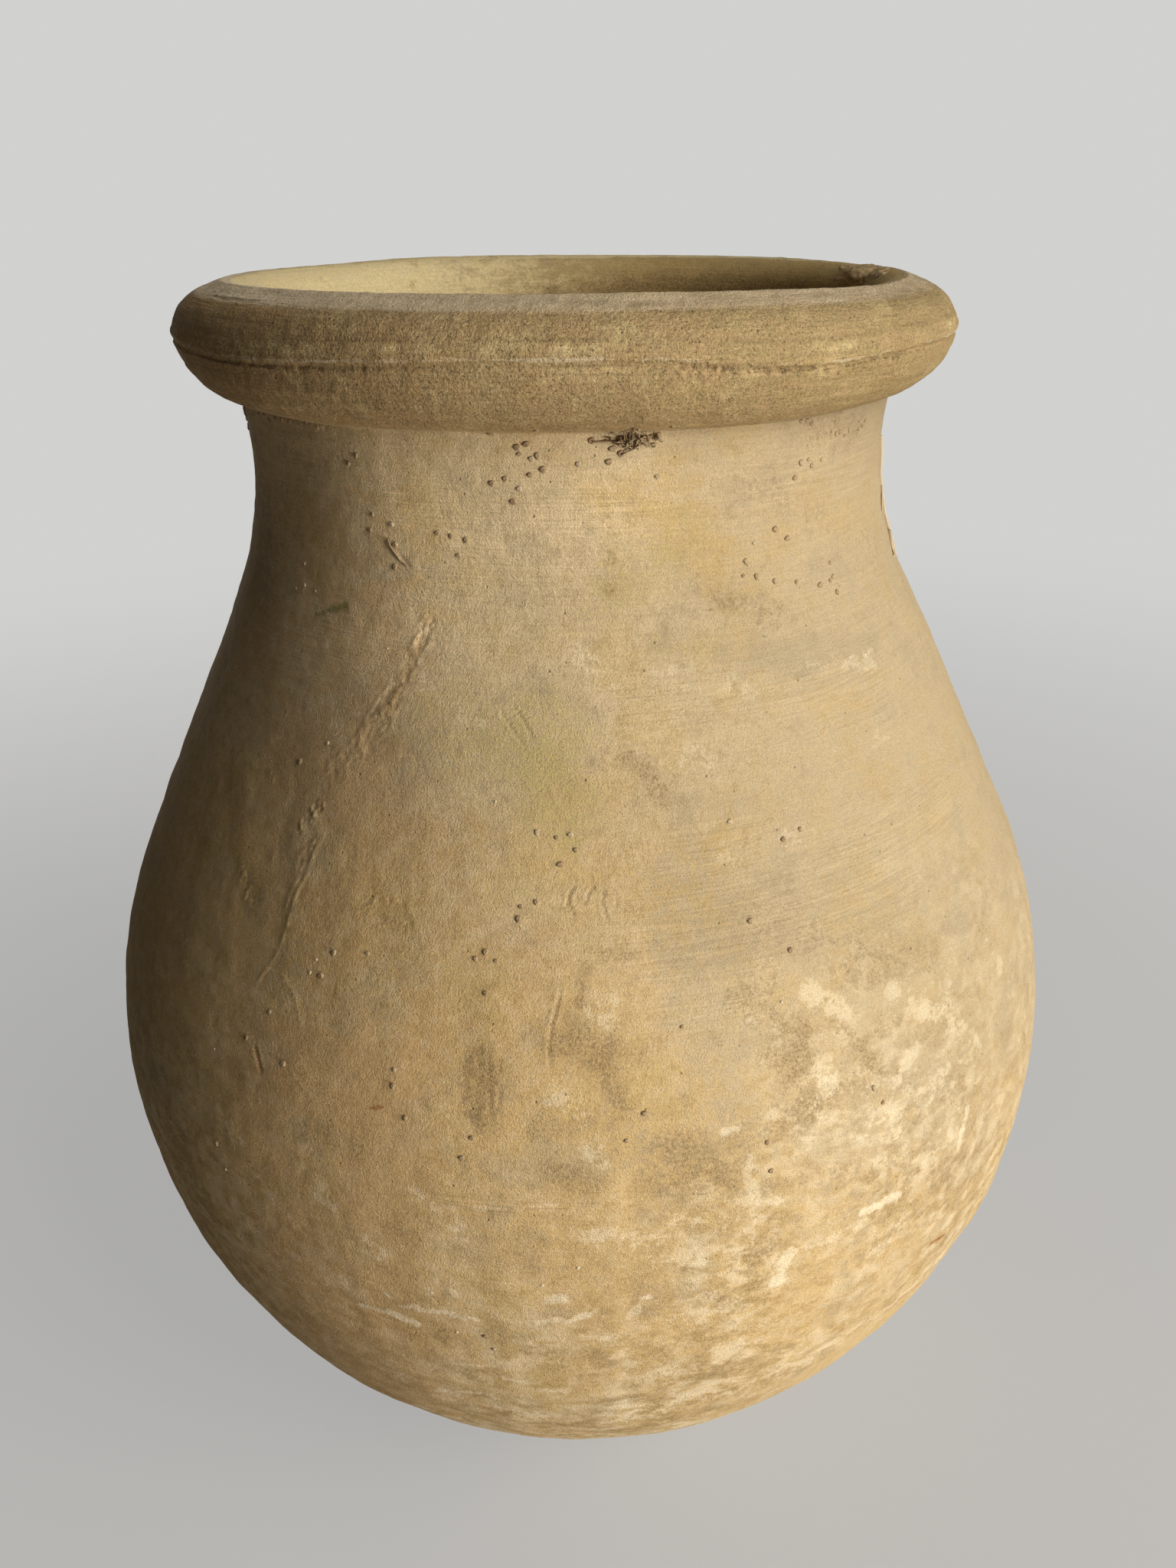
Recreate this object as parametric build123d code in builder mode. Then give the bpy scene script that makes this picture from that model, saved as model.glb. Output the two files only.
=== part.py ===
from build123d import *
import math
import os

# Olive jar of unglazed earthenware, raised in rings that are luted one on the other.
# Half sections lie in the XZ plane: X is the radius and Z the height above the foot.
# Lengths are in millimetres, angles in degrees above level.

# Body outline: a round belly, a straight foot slope, a straight shoulder, a hollow neck
belly_radius = 210.0
foot_radius = 107.0
neck_radius = 122.0
neck_sweep_radius = 120.0
foot_angle = -45.0
shoulder_angle = 26.7

# Wall and floor
wall = 15.0
floor_thickness = 16.0
floor_corner_radius = 12.0
foot_rounding = 3.0

# Luting joints: a V-shaped tongue in a V-shaped groove, with a flat land on both sides
lute_depth = 7.0
lute_land = 3.0

# Where the rings meet, as the outward tilt of the wall there
base_edge = 22.0
lower_wall_angle = -24.0
girth_angle = 2.0
upper_belly_angle = 22.0
neck_foot_angle = 15.0

# Rim: a thick roll on the neck, from the crease under it to the crest
crease_rise = 19.0
rim_height = 38.6
rim_reach = 22.0
underside_bulge = 4.5
ridge_rise = 23.2
ridge_width = 3.2
ridge_proud = 0.6
groove_width = 2.2
groove_depth = 0.5
brow_bulge = 1.2
arris_reach = 13.5
arris_drop = 3.6
crest_reach = 3.5
lip_depth = 17.0
lip_bulge = 4.8
mouth_radius = 110.0

# Heights worked out from the outline
cos_foot = math.cos(math.radians(foot_angle))
sin_foot = math.sin(math.radians(foot_angle))
cos_shoulder = math.cos(math.radians(shoulder_angle))
sin_shoulder = math.sin(math.radians(shoulder_angle))
belly_height = (foot_radius * cos_foot - belly_radius) / sin_foot
neck_centre_radius = neck_radius + neck_sweep_radius
reach_of_both = belly_radius + neck_sweep_radius
shoulder_rise = (reach_of_both - neck_centre_radius * cos_shoulder) / sin_shoulder
neck_height = belly_height + shoulder_rise
crease_angle = -math.degrees(math.asin(crease_rise / neck_sweep_radius))

belly_centre = Vector(0, belly_height)
neck_centre = Vector(neck_centre_radius, neck_height)


def outward(angle):
    """The wall's outward normal where it tilts by that angle."""
    return Vector(math.cos(math.radians(angle)), math.sin(math.radians(angle)))


def upward(angle):
    """The direction up along the wall where it tilts by that angle."""
    return Vector(-math.sin(math.radians(angle)), math.cos(math.radians(angle)))


def on_belly(angle, depth=0):
    """A point of the belly, at a depth inside its outer face."""
    return belly_centre + outward(angle) * (belly_radius - depth)


def on_neck(angle, depth=0):
    """A point of the hollow neck, at a depth inside its outer face."""
    return neck_centre - outward(angle) * (neck_sweep_radius + depth)


def lute_line(outer_point, angle):
    """The joint across the wall, from its outer to its inner face: land, V and land."""
    inward = outward(angle) * -1
    middle = outer_point + inward * (wall / 2) - upward(angle) * lute_depth
    return [
        outer_point,
        outer_point + inward * lute_land,
        middle,
        outer_point + inward * (wall - lute_land),
        outer_point + inward * wall,
    ]


# The six joints, from the foot up
foot_point = Vector(foot_radius, 0)
base_lute = lute_line(foot_point + upward(foot_angle) * base_edge, foot_angle)
lower_lute = lute_line(on_belly(lower_wall_angle), lower_wall_angle)
girth_lute = lute_line(on_belly(girth_angle), girth_angle)
upper_lute = lute_line(on_belly(upper_belly_angle), upper_belly_angle)
neck_lute = lute_line(on_neck(neck_foot_angle), neck_foot_angle)
rim_lute = lute_line(on_neck(crease_angle), crease_angle)


def belly_arcs(low_angle, high_angle):
    """Outer and inner arc of the round belly between two tilts of the wall."""
    sweep = high_angle - low_angle
    CenterArc(belly_centre, belly_radius, low_angle, sweep)
    CenterArc(belly_centre, belly_radius - wall, low_angle, sweep)


def neck_arcs(low_angle, high_angle):
    """Outer and inner arc of the hollow neck between two tilts of the wall."""
    half_turn = 180
    sweep = high_angle - low_angle
    CenterArc(neck_centre, neck_sweep_radius, half_turn + low_angle, sweep)
    CenterArc(neck_centre, neck_sweep_radius + wall, half_turn + low_angle, sweep)


# Base: the floor disc and its turned-up edge, which carries the first ring
floor_corner_rise = floor_thickness - base_lute[-1].Y
floor_corner = base_lute[-1] + upward(foot_angle) * (floor_corner_rise / cos_foot)
with BuildPart() as base:
    with BuildSketch(Plane.XZ) as base_section:
        with BuildLine():
            Polyline(
                (0, 0),
                foot_point,
                *base_lute,
                floor_corner,
                (0, floor_thickness),
                close=True,
            )
        make_face()
        corners = base_section.vertices()
        fillet(corners.sort_by_distance(foot_point)[0], foot_rounding)
        corners = base_section.vertices()
        fillet(corners.sort_by_distance(floor_corner)[0], floor_corner_radius)
    revolve(axis=Axis.Z)
base.part.label = "base"

# Lower wall: straight above the foot, then rounding into the belly
with BuildPart() as lower_wall:
    with BuildSketch(Plane.XZ):
        with BuildLine():
            Polyline(*base_lute)
            Line(base_lute[0], on_belly(foot_angle))
            Line(base_lute[-1], on_belly(foot_angle, wall))
            belly_arcs(foot_angle, lower_wall_angle)
            Polyline(*lower_lute)
        make_face()
    revolve(axis=Axis.Z)
lower_wall.part.label = "lower_wall"

# Lower belly: up to the widest girth
with BuildPart() as lower_belly:
    with BuildSketch(Plane.XZ):
        with BuildLine():
            Polyline(*lower_lute)
            belly_arcs(lower_wall_angle, girth_angle)
            Polyline(*girth_lute)
        make_face()
    revolve(axis=Axis.Z)
lower_belly.part.label = "lower_belly"

# Upper belly: from the widest girth to where the jar starts to close in
with BuildPart() as upper_belly:
    with BuildSketch(Plane.XZ):
        with BuildLine():
            Polyline(*girth_lute)
            belly_arcs(girth_angle, upper_belly_angle)
            Polyline(*upper_lute)
        make_face()
    revolve(axis=Axis.Z)
upper_belly.part.label = "upper_belly"

# Shoulder: the end of the belly's round, the straight slope and the start of the neck
with BuildPart() as shoulder:
    with BuildSketch(Plane.XZ):
        with BuildLine():
            Polyline(*upper_lute)
            belly_arcs(upper_belly_angle, shoulder_angle)
            Line(on_belly(shoulder_angle), on_neck(shoulder_angle))
            Line(on_belly(shoulder_angle, wall), on_neck(shoulder_angle, wall))
            neck_arcs(neck_foot_angle, shoulder_angle)
            Polyline(*neck_lute)
        make_face()
    revolve(axis=Axis.Z)
shoulder.part.label = "shoulder"

# Neck: the hollow collar up to the crease under the rim
with BuildPart() as neck:
    with BuildSketch(Plane.XZ):
        with BuildLine():
            Polyline(*neck_lute)
            neck_arcs(crease_angle, neck_foot_angle)
            Polyline(*rim_lute)
        make_face()
    revolve(axis=Axis.Z)
neck.part.label = "neck"

# Rim: underside, groove, ridge, brow, sloping top, crest and the round inner lip
crease = rim_lute[0]
crest_height = crease.Y + rim_height
rim_side = neck_radius + rim_reach
ridge_top = Vector(rim_side, crease.Y + ridge_rise + ridge_width / 2)
ridge_foot = ridge_top - Vector(0, ridge_width)
groove_foot = ridge_foot - Vector(0, groove_width)
arris = Vector(neck_radius + arris_reach, crest_height - arris_drop)
crest = Vector(neck_radius + crest_reach, crest_height)
lip_foot = Vector(mouth_radius, crest_height - lip_depth)
with BuildPart() as rim:
    with BuildSketch(Plane.XZ):
        with BuildLine():
            Polyline(*rim_lute)
            SagittaArc(crease, groove_foot, -underside_bulge)
            SagittaArc(groove_foot, ridge_foot, groove_depth)
            SagittaArc(ridge_foot, ridge_top, -ridge_proud)
            SagittaArc(ridge_top, arris, -brow_bulge)
            Line(arris, crest)
            SagittaArc(crest, lip_foot, -lip_bulge)
            Line(lip_foot, rim_lute[-1])
        make_face()
    revolve(axis=Axis.Z)
rim.part.label = "rim"

os.makedirs("parts", exist_ok=True)
export_step(base.part, "parts/base.step")
export_step(lower_wall.part, "parts/lower_wall.step")
export_step(lower_belly.part, "parts/lower_belly.step")
export_step(upper_belly.part, "parts/upper_belly.step")
export_step(shoulder.part, "parts/shoulder.step")
export_step(neck.part, "parts/neck.step")
export_step(rim.part, "parts/rim.step")
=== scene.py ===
import itertools
import math

import bpy
import numpy as np
from mathutils import Matrix, Vector
from mathutils.bvhtree import BVHTree


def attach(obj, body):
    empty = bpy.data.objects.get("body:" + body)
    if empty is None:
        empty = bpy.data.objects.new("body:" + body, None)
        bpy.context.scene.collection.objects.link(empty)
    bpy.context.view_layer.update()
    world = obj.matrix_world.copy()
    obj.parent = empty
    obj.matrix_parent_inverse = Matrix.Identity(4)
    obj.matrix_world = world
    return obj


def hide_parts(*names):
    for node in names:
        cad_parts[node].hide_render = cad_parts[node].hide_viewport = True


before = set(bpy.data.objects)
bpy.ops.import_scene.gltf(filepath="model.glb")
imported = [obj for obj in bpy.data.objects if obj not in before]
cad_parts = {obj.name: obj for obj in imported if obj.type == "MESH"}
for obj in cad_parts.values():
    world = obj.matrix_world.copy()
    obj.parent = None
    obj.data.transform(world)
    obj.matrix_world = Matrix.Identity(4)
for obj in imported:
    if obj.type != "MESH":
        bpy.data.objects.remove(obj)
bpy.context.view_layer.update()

# The photograph's frame and the camera that took it, in metres and degrees
IMAGE_WIDTH = 1536
IMAGE_HEIGHT = 2048
FOCAL_PIXELS = 1538.4
SENSOR_MM = 36.0
CAMERA_PLACE = (0.0041, -0.4849, 0.5253)
PITCH_DOWN = 26.42
ROLL = 0.61
NEAREST_SEEN = 0.01
JAR_MIDDLE = (768, 1150)
STEP_IN = 0.005
FARTHEST_IN = 0.08

# The jar's outline in millimetres, as it is built: X is the radius, Z the height
MM = 0.001
BELLY_RADIUS = 210.0
FOOT_RADIUS = 107.0
NECK_RADIUS = 122.0
NECK_SWEEP_RADIUS = 120.0
FOOT_ANGLE = -45.0
SHOULDER_ANGLE = 26.7
WALL = 15.0
FLOOR_THICKNESS = 16.0
FLOOR_CORNER_RADIUS = 12.0
FOOT_ROUNDING = 3.0
LUTE_DEPTH = 7.0
LUTE_LAND = 3.0
BASE_EDGE = 22.0
LOWER_WALL_ANGLE = -24.0
GIRTH_ANGLE = 2.0
UPPER_BELLY_ANGLE = 22.0
NECK_FOOT_ANGLE = 15.0
CREASE_RISE = 19.0
RIM_HEIGHT = 38.6
RIM_REACH = 22.0
UNDERSIDE_BULGE = 4.5
RIDGE_RISE = 23.2
RIDGE_WIDTH = 3.2
RIDGE_PROUD = 0.6
GROOVE_WIDTH = 2.2
GROOVE_DEPTH = 0.5
BROW_BULGE = 1.2
ARRIS_REACH = 13.5
ARRIS_DROP = 3.6
CREST_REACH = 3.5
LIP_DEPTH = 17.0
LIP_BULGE = 4.8
MOUTH_RADIUS = 110.0

# How finely the skin is divided: steps up the wall in millimetres, and columns round it,
# close together on the side that the photograph shows
BODY_STEPS = {"lower_wall": 1.15, "lower_belly": 0.9, "upper_belly": 0.95,
              "shoulder": 1.3, "neck": 0.8}
INSIDE_STEPS = {"lower_wall": 8.0, "lower_belly": 8.0, "upper_belly": 8.0,
                "shoulder": 18.0, "neck": 2.5}
RIM_STEP = 0.7
LIP_STEP = 1.4
RIDGE_STEP = 0.35
FLOOR_STEP = 12.0
FRONT_HALF_ARC = 68.0
FRONT_COLUMNS = 580
BACK_COLUMNS = 110
COLUMNS = FRONT_COLUMNS + BACK_COLUMNS
POLE_RADIUS = 2.0
ARRIS_WEAR = 8.0
ARRIS_RUBS = 30
QUARTER_TURN = 90.0
HALF_TURN = 180.0


def unit(angle):
    """The direction of an angle above level, in the half section."""
    return np.array([math.cos(math.radians(angle)), math.sin(math.radians(angle))])


def upward(angle):
    """The direction up along a wall that tilts by that angle."""
    return np.array([-math.sin(math.radians(angle)), math.cos(math.radians(angle))])


def line(start, end, step):
    """Points along a straight run."""
    start, end = np.array(start, float), np.array(end, float)
    count = max(2, math.ceil(np.linalg.norm(end - start) / step) + 1)
    return start + (end - start) * np.linspace(0, 1, count)[:, None]


def arc(centre, radius, start, end, step):
    """Points along an arc about a centre, between two angles."""
    count = max(3, math.ceil(abs(math.radians(end - start) * radius) / step) + 1)
    angles = np.radians(np.linspace(start, end, count))
    return np.array(centre) + radius * np.stack([np.cos(angles), np.sin(angles)], 1)


def bulge(start, end, rise, step):
    """Points along a round run that swells by a rise to the right of its way."""
    start, end = np.array(start, float), np.array(end, float)
    half = np.linalg.norm(end - start) / 2
    way = (end - start) / (2 * half)
    right = np.array([way[1], -way[0]])
    radius = (half * half + rise * rise) / (2 * abs(rise))
    count = max(5, math.ceil(2 * half / step) + 1)
    along = np.linspace(-half, half, count)
    swell = np.sqrt(radius * radius - along * along) - (radius - abs(rise))
    return (start + end) / 2 + np.outer(along, way) + np.outer(swell * np.sign(rise), right)


def join(*runs):
    """One run from several that follow each other."""
    return np.concatenate([runs[0]] + [run[1:] for run in runs[1:]])


BELLY_HEIGHT = (FOOT_RADIUS * unit(FOOT_ANGLE)[0] - BELLY_RADIUS) / unit(FOOT_ANGLE)[1]
NECK_CENTRE_RADIUS = NECK_RADIUS + NECK_SWEEP_RADIUS
SHOULDER_RISE = (
    BELLY_RADIUS + NECK_SWEEP_RADIUS - NECK_CENTRE_RADIUS * unit(SHOULDER_ANGLE)[0]
) / unit(SHOULDER_ANGLE)[1]
NECK_HEIGHT = BELLY_HEIGHT + SHOULDER_RISE
CREASE_ANGLE = -math.degrees(math.asin(CREASE_RISE / NECK_SWEEP_RADIUS))
BELLY_CENTRE = np.array([0, BELLY_HEIGHT])
NECK_CENTRE = np.array([NECK_CENTRE_RADIUS, NECK_HEIGHT])


def on_belly(angle, depth=0):
    """A point of the belly, at a depth inside its outer face."""
    return BELLY_CENTRE + unit(angle) * (BELLY_RADIUS - depth)


def on_neck(angle, depth=0):
    """A point of the hollow neck, at a depth inside its outer face."""
    return NECK_CENTRE - unit(angle) * (NECK_SWEEP_RADIUS + depth)


def belly_run(start, end, depth, step):
    """Points up the round belly, between two tilts of the wall."""
    return arc(BELLY_CENTRE, BELLY_RADIUS - depth, start, end, step)


def neck_run(start, end, depth, step):
    """Points up the hollow neck, between two tilts of the wall."""
    turned = (HALF_TURN + start, HALF_TURN + end)
    return arc(NECK_CENTRE, NECK_SWEEP_RADIUS + depth, *turned, step)


def lute_line(outer_point, angle):
    """A joint across the wall, from its outer to its inner face: land, V and land."""
    inward = -unit(angle)
    middle = outer_point + inward * WALL / 2 - upward(angle) * LUTE_DEPTH
    return np.array([
        outer_point,
        outer_point + inward * LUTE_LAND,
        middle,
        outer_point + inward * (WALL - LUTE_LAND),
        outer_point + inward * WALL,
    ])


FOOT_POINT = np.array([FOOT_RADIUS, 0.0])
LUTES = {
    "base": lute_line(FOOT_POINT + upward(FOOT_ANGLE) * BASE_EDGE, FOOT_ANGLE),
    "lower_wall": lute_line(on_belly(LOWER_WALL_ANGLE), LOWER_WALL_ANGLE),
    "lower_belly": lute_line(on_belly(GIRTH_ANGLE), GIRTH_ANGLE),
    "upper_belly": lute_line(on_belly(UPPER_BELLY_ANGLE), UPPER_BELLY_ANGLE),
    "shoulder": lute_line(on_neck(NECK_FOOT_ANGLE), NECK_FOOT_ANGLE),
    "neck": lute_line(on_neck(CREASE_ANGLE), CREASE_ANGLE),
}
PIECES = ["base", "lower_wall", "lower_belly", "upper_belly", "shoulder", "neck", "rim"]
CREASE = LUTES["neck"][0]
CREST_HEIGHT = CREASE[1] + RIM_HEIGHT
RIDGE_HEIGHT = CREASE[1] + RIDGE_RISE
GROOVE_HEIGHT = RIDGE_HEIGHT - RIDGE_WIDTH / 2 - GROOVE_WIDTH / 2
RIM_SIDE = NECK_RADIUS + RIM_REACH


def foot_run():
    """The underside, the rounded foot edge and the slope up to the first joint."""
    tangent = FOOT_ROUNDING * math.tan(math.radians(-FOOT_ANGLE / 2))
    centre = np.array([FOOT_RADIUS - tangent, FOOT_ROUNDING])
    rounding = arc(centre, FOOT_ROUNDING, -QUARTER_TURN, FOOT_ANGLE, RIM_STEP)
    underside = line((POLE_RADIUS, 0), rounding[0], FLOOR_STEP)
    slope = line(rounding[-1], LUTES["base"][0], BODY_STEPS["lower_wall"])
    return join(underside, rounding, slope)


def rubbed(run, corner):
    """A run whose corner is worn round."""
    for _ in range(ARRIS_RUBS):
        share = smooth_step(ARRIS_WEAR, 0, np.linalg.norm(run[1:-1] - corner, axis=1))
        run[1:-1] += share[:, None] * (run[:-2] + run[2:] - 2 * run[1:-1]) / 4
    return run


def rim_run():
    """From the crease over the ridge, the brow and the crest to the inner lip's foot."""
    ridge_top = np.array([RIM_SIDE, RIDGE_HEIGHT + RIDGE_WIDTH / 2])
    ridge_foot = ridge_top - (0, RIDGE_WIDTH)
    groove_foot = ridge_foot - (0, GROOVE_WIDTH)
    arris = np.array([NECK_RADIUS + ARRIS_REACH, CREST_HEIGHT - ARRIS_DROP])
    crest = np.array([NECK_RADIUS + CREST_REACH, CREST_HEIGHT])
    lip_foot = np.array([MOUTH_RADIUS, CREST_HEIGHT - LIP_DEPTH])
    top = join(bulge(ridge_top, arris, BROW_BULGE, RIM_STEP), line(arris, crest, RIM_STEP))
    return join(
        bulge(CREASE, groove_foot, UNDERSIDE_BULGE, RIM_STEP),
        bulge(groove_foot, ridge_foot, -GROOVE_DEPTH, RIDGE_STEP),
        bulge(ridge_foot, ridge_top, RIDGE_PROUD, RIDGE_STEP),
        rubbed(top, arris),
        bulge(crest, lip_foot, LIP_BULGE, LIP_STEP),
        line(lip_foot, LUTES["neck"][-1], INSIDE_STEPS["neck"]),
    )


def floor_run():
    """Down the inside of the base's edge, round the corner and in along the floor."""
    start = LUTES["base"][-1]
    corner_rise = (FLOOR_THICKNESS - start[1]) / unit(FOOT_ANGLE)[0]
    corner = start + upward(FOOT_ANGLE) * corner_rise
    tangent = FLOOR_CORNER_RADIUS * math.tan(math.radians(-FOOT_ANGLE / 2))
    centre = np.array([corner[0] - tangent, FLOOR_THICKNESS + FLOOR_CORNER_RADIUS])
    turn = arc(centre, FLOOR_CORNER_RADIUS, FOOT_ANGLE, -QUARTER_TURN, LIP_STEP)
    middle = (POLE_RADIUS, FLOOR_THICKNESS)
    return join(line(start, turn[0], FLOOR_STEP), turn, line(turn[-1], middle, FLOOR_STEP))


BELLY_ARCS = {
    "lower_wall": (FOOT_ANGLE, LOWER_WALL_ANGLE),
    "lower_belly": (LOWER_WALL_ANGLE, GIRTH_ANGLE),
    "upper_belly": (GIRTH_ANGLE, UPPER_BELLY_ANGLE),
    "shoulder": (UPPER_BELLY_ANGLE, SHOULDER_ANGLE),
}


def wall_run(piece, depth, step):
    """The outer (depth 0) or inner face of one ring, from its foot up to its joint."""
    if piece == "neck":
        return neck_run(NECK_FOOT_ANGLE, CREASE_ANGLE, depth, step)
    round_part = belly_run(*BELLY_ARCS[piece], depth, step)
    if piece == "lower_wall":
        start = LUTES["base"][0 if depth == 0 else -1]
        return join(line(start, on_belly(FOOT_ANGLE, depth), step), round_part)
    if piece == "shoulder":
        slope = line(on_belly(SHOULDER_ANGLE, depth), on_neck(SHOULDER_ANGLE, depth), step)
        return join(round_part, slope, neck_run(SHOULDER_ANGLE, NECK_FOOT_ANGLE, depth, step))
    return round_part


def skin():
    """The whole skin as one path, up the outside and down the inside, and the rows of it
    that each piece has: {piece: [(first row, last row), ...]}."""
    middle = PIECES[1:-1]
    runs = [("base", foot_run())]
    runs += [(p, wall_run(p, 0, BODY_STEPS[p])) for p in middle]
    runs += [("rim", rim_run())]
    runs += [(p, wall_run(p, WALL, INSIDE_STEPS[p])[::-1]) for p in reversed(middle)]
    runs += [("base", floor_run())]
    rows, last = {p: [] for p in PIECES}, 0
    for piece, run in runs:
        rows[piece].append((last, last + len(run) - 1))
        last += len(run) - 1
    return join(*[run for _, run in runs]), rows


def column_turns():
    """The angle of each column round the jar, in radians, starting left of the front."""
    left, right = -QUARTER_TURN - FRONT_HALF_ARC, -QUARTER_TURN + FRONT_HALF_ARC
    front = np.linspace(left, right, FRONT_COLUMNS, endpoint=False)
    back = np.linspace(right, left + 2 * HALF_TURN, BACK_COLUMNS, endpoint=False)
    return np.radians(np.concatenate([front, back]))


TURNS = column_turns()


def turned(run, turns):
    """A run of the half section turned round the jar, as points by row and column."""
    radius, height = run[:, 0:1], run[:, 1:2]
    return np.stack([radius * np.cos(turns), radius * np.sin(turns), height + 0 * turns], -1)


def facing(run, *along):
    """The outward normals of a run, in the half section."""
    slope = np.gradient(run, *along, axis=0)
    slope /= np.linalg.norm(slope, axis=1)[:, None]
    return np.stack([slope[:, 1], -slope[:, 0]], 1)


def lengths_along(run):
    """How far along a run each of its points lies."""
    return np.r_[0, np.cumsum(np.linalg.norm(np.diff(run, axis=0), axis=1))]


def grid_faces(index):
    """Four-sided faces between the neighbours in a grid of point numbers, closed round."""
    beside = np.roll(index, -1, 1)
    return np.stack([index[:-1], beside[:-1], beside[1:], index[1:]], -1)


# Smooth seeded noise on points, used for every unevenness of the clay: the cells along each
# side of the block of random numbers that it repeats
LATTICE = 32


def noise(points, size, seed):
    """Smooth noise from about -1 to 1 at points in millimetres. Size is a length, or one
    for each direction."""
    rng = np.random.default_rng(seed)
    grid = rng.uniform(-1, 1, (LATTICE,) * 3)
    scaled = points / np.array(size, float) + rng.uniform(0, LATTICE, 3)
    cell = np.floor(scaled).astype(int)
    part = scaled - cell
    part = part * part * part * (part * (part * 6 - 15) + 10)
    total = np.zeros(points.shape[:-1])
    for corner in itertools.product((0, 1), repeat=3):
        weight = np.ones(points.shape[:-1])
        for axis, side in enumerate(corner):
            weight *= part[..., axis] if side else 1 - part[..., axis]
        index = (cell + np.array(corner)) % LATTICE
        total += grid[index[..., 0], index[..., 1], index[..., 2]] * weight
    return total


def layered(points, layers):
    """The sum of several noises, each given as height, size and seed."""
    return sum(height * noise(points, size, seed) for height, size, seed in layers)


def smooth_step(low, high, value):
    """0 at low, 1 at high and smooth between, whichever of the two is greater."""
    t = np.clip((value - low) / (high - low), 0, 1)
    return t * t * (3 - 2 * t)


def across(points, start, full):
    """From 0 to 1 on the way across the jar, between two places on X."""
    return smooth_step(start, full, points[..., 0])


def up(points, start, full):
    """From 0 to 1 on the way up or down the jar, between two heights."""
    return smooth_step(start, full, points[..., 2])


# The body as it was thrown: a little off centre at the top, out of round and uneven
LEAN_TOP = -2.6
LEAN_START = 320.0
LEAN_END = 450.0
OVAL_SHARE = 0.003
OVAL_TURN = 0.7
THROWN_NOISES = [(0.55, 75.0, 11), (0.3, 28.0, 12), (0.25, (110.0, 110.0, 9.0), 13)]
# The crest isn't level: turns round the jar in degrees, and lifts
CREST_TURNS = (-170, -143, -112, -91, -80, -59, -36, 0, 20, 42, 75, 110, 128, 143)
CREST_LIFTS = (0.1, 0.4, 0.6, 0.4, 0.5, 0.0, -1.3, -0.3, -0.4, 0.5, 0.6, 1.1, 1.0, 0.0)
FLAT_FOOT_HEIGHT = 10.0
FLAT_FOOT_RADIUS = 30.0


def thrown(path):
    """The skin's points without its marks, and the wall's outward normals: [row, column]."""
    points = turned(path, TURNS)
    normals = turned(facing(path, lengths_along(path)), TURNS)
    radius, height = path[:, 0:1], path[:, 1:2]
    free = smooth_step(0, FLAT_FOOT_HEIGHT, height) * smooth_step(0, FLAT_FOOT_RADIUS, radius)
    oval = OVAL_SHARE * radius * np.cos(2 * TURNS[None] + OVAL_TURN)
    points += normals * (free * layered(points, THROWN_NOISES))[..., None]
    lean = LEAN_TOP * smooth_step(LEAN_START, LEAN_END, height)
    points[..., 0] += free * oval * np.cos(TURNS) + lean
    points[..., 1] += free * oval * np.sin(TURNS)
    lift = np.interp(np.degrees(TURNS), CREST_TURNS, CREST_LIFTS, period=2 * HALF_TURN)
    lift -= points[np.argmax(path[:, 1]), :, 2] - CREST_HEIGHT
    points[..., 2] += lift * smooth_step(RIDGE_HEIGHT + 2, CREST_HEIGHT - 4, height)
    return points, normals


def camera_axes():
    """The camera's right, up and forward directions."""
    pitch, roll = math.radians(PITCH_DOWN), math.radians(ROLL)
    level_right = Vector((1, 0, 0))
    level_up = Vector((0, math.sin(pitch), math.cos(pitch)))
    forward = Vector((0, math.cos(pitch), -math.sin(pitch)))
    right = level_right * math.cos(roll) - level_up * math.sin(roll)
    up = level_right * math.sin(roll) + level_up * math.cos(roll)
    return right, up, forward


def add_camera():
    """The camera that took the photograph."""
    data = bpy.data.cameras.new("camera")
    camera = bpy.data.objects.new("camera", data)
    bpy.context.scene.collection.objects.link(camera)
    right, up, forward = camera_axes()
    camera.matrix_world = Matrix.LocRotScale(
        Vector(CAMERA_PLACE), Matrix((right, up, -forward)).transposed(), None
    )
    data.sensor_width = SENSOR_MM
    data.lens = FOCAL_PIXELS / IMAGE_HEIGHT * SENSOR_MM
    data.clip_start = NEAREST_SEEN
    bpy.context.scene.camera = camera


def pixel_ray(x, y):
    """The direction from the camera through a pixel of the photograph."""
    right, up, forward = camera_axes()
    across = (x - IMAGE_WIDTH / 2) / FOCAL_PIXELS
    rise = (IMAGE_HEIGHT / 2 - y) / FOCAL_PIXELS
    return (forward + right * across + up * rise).normalized()


class Surface:
    """The skin as something that a ray can hit, in millimetres."""

    def __init__(self, points, row_step, column_step):
        grid = points[::row_step, ::column_step]
        rows, columns = grid.shape[:2]
        faces = grid_faces(np.arange(rows * columns).reshape(rows, columns)).reshape(-1, 4)
        self.tree = BVHTree.FromPolygons(grid.reshape(-1, 3).tolist(), faces.tolist())
        self.eye = Vector(CAMERA_PLACE) / MM

    def hit(self, x, y):
        """Where the ray through a pixel meets the skin, and the normal there. A pixel just
        beyond the outline is moved in until it does."""
        for share in np.arange(0, FARTHEST_IN, STEP_IN):
            moved = (x + (JAR_MIDDLE[0] - x) * share, y + (JAR_MIDDLE[1] - y) * share)
            place, normal, _, _ = self.tree.ray_cast(self.eye, pixel_ray(*moved))
            if place is not None:
                return place, normal
        raise ValueError(f"pixel {x},{y} is off the jar")

    def beside(self, turn, height):
        """The outside at an angle round the jar, in degrees, and a height."""
        way = Vector((*unit(turn), 0))
        start = way * 2 * BELLY_RADIUS + Vector((0, 0, height))
        place, normal, _, _ = self.tree.ray_cast(start, -way)
        return place, normal


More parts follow.
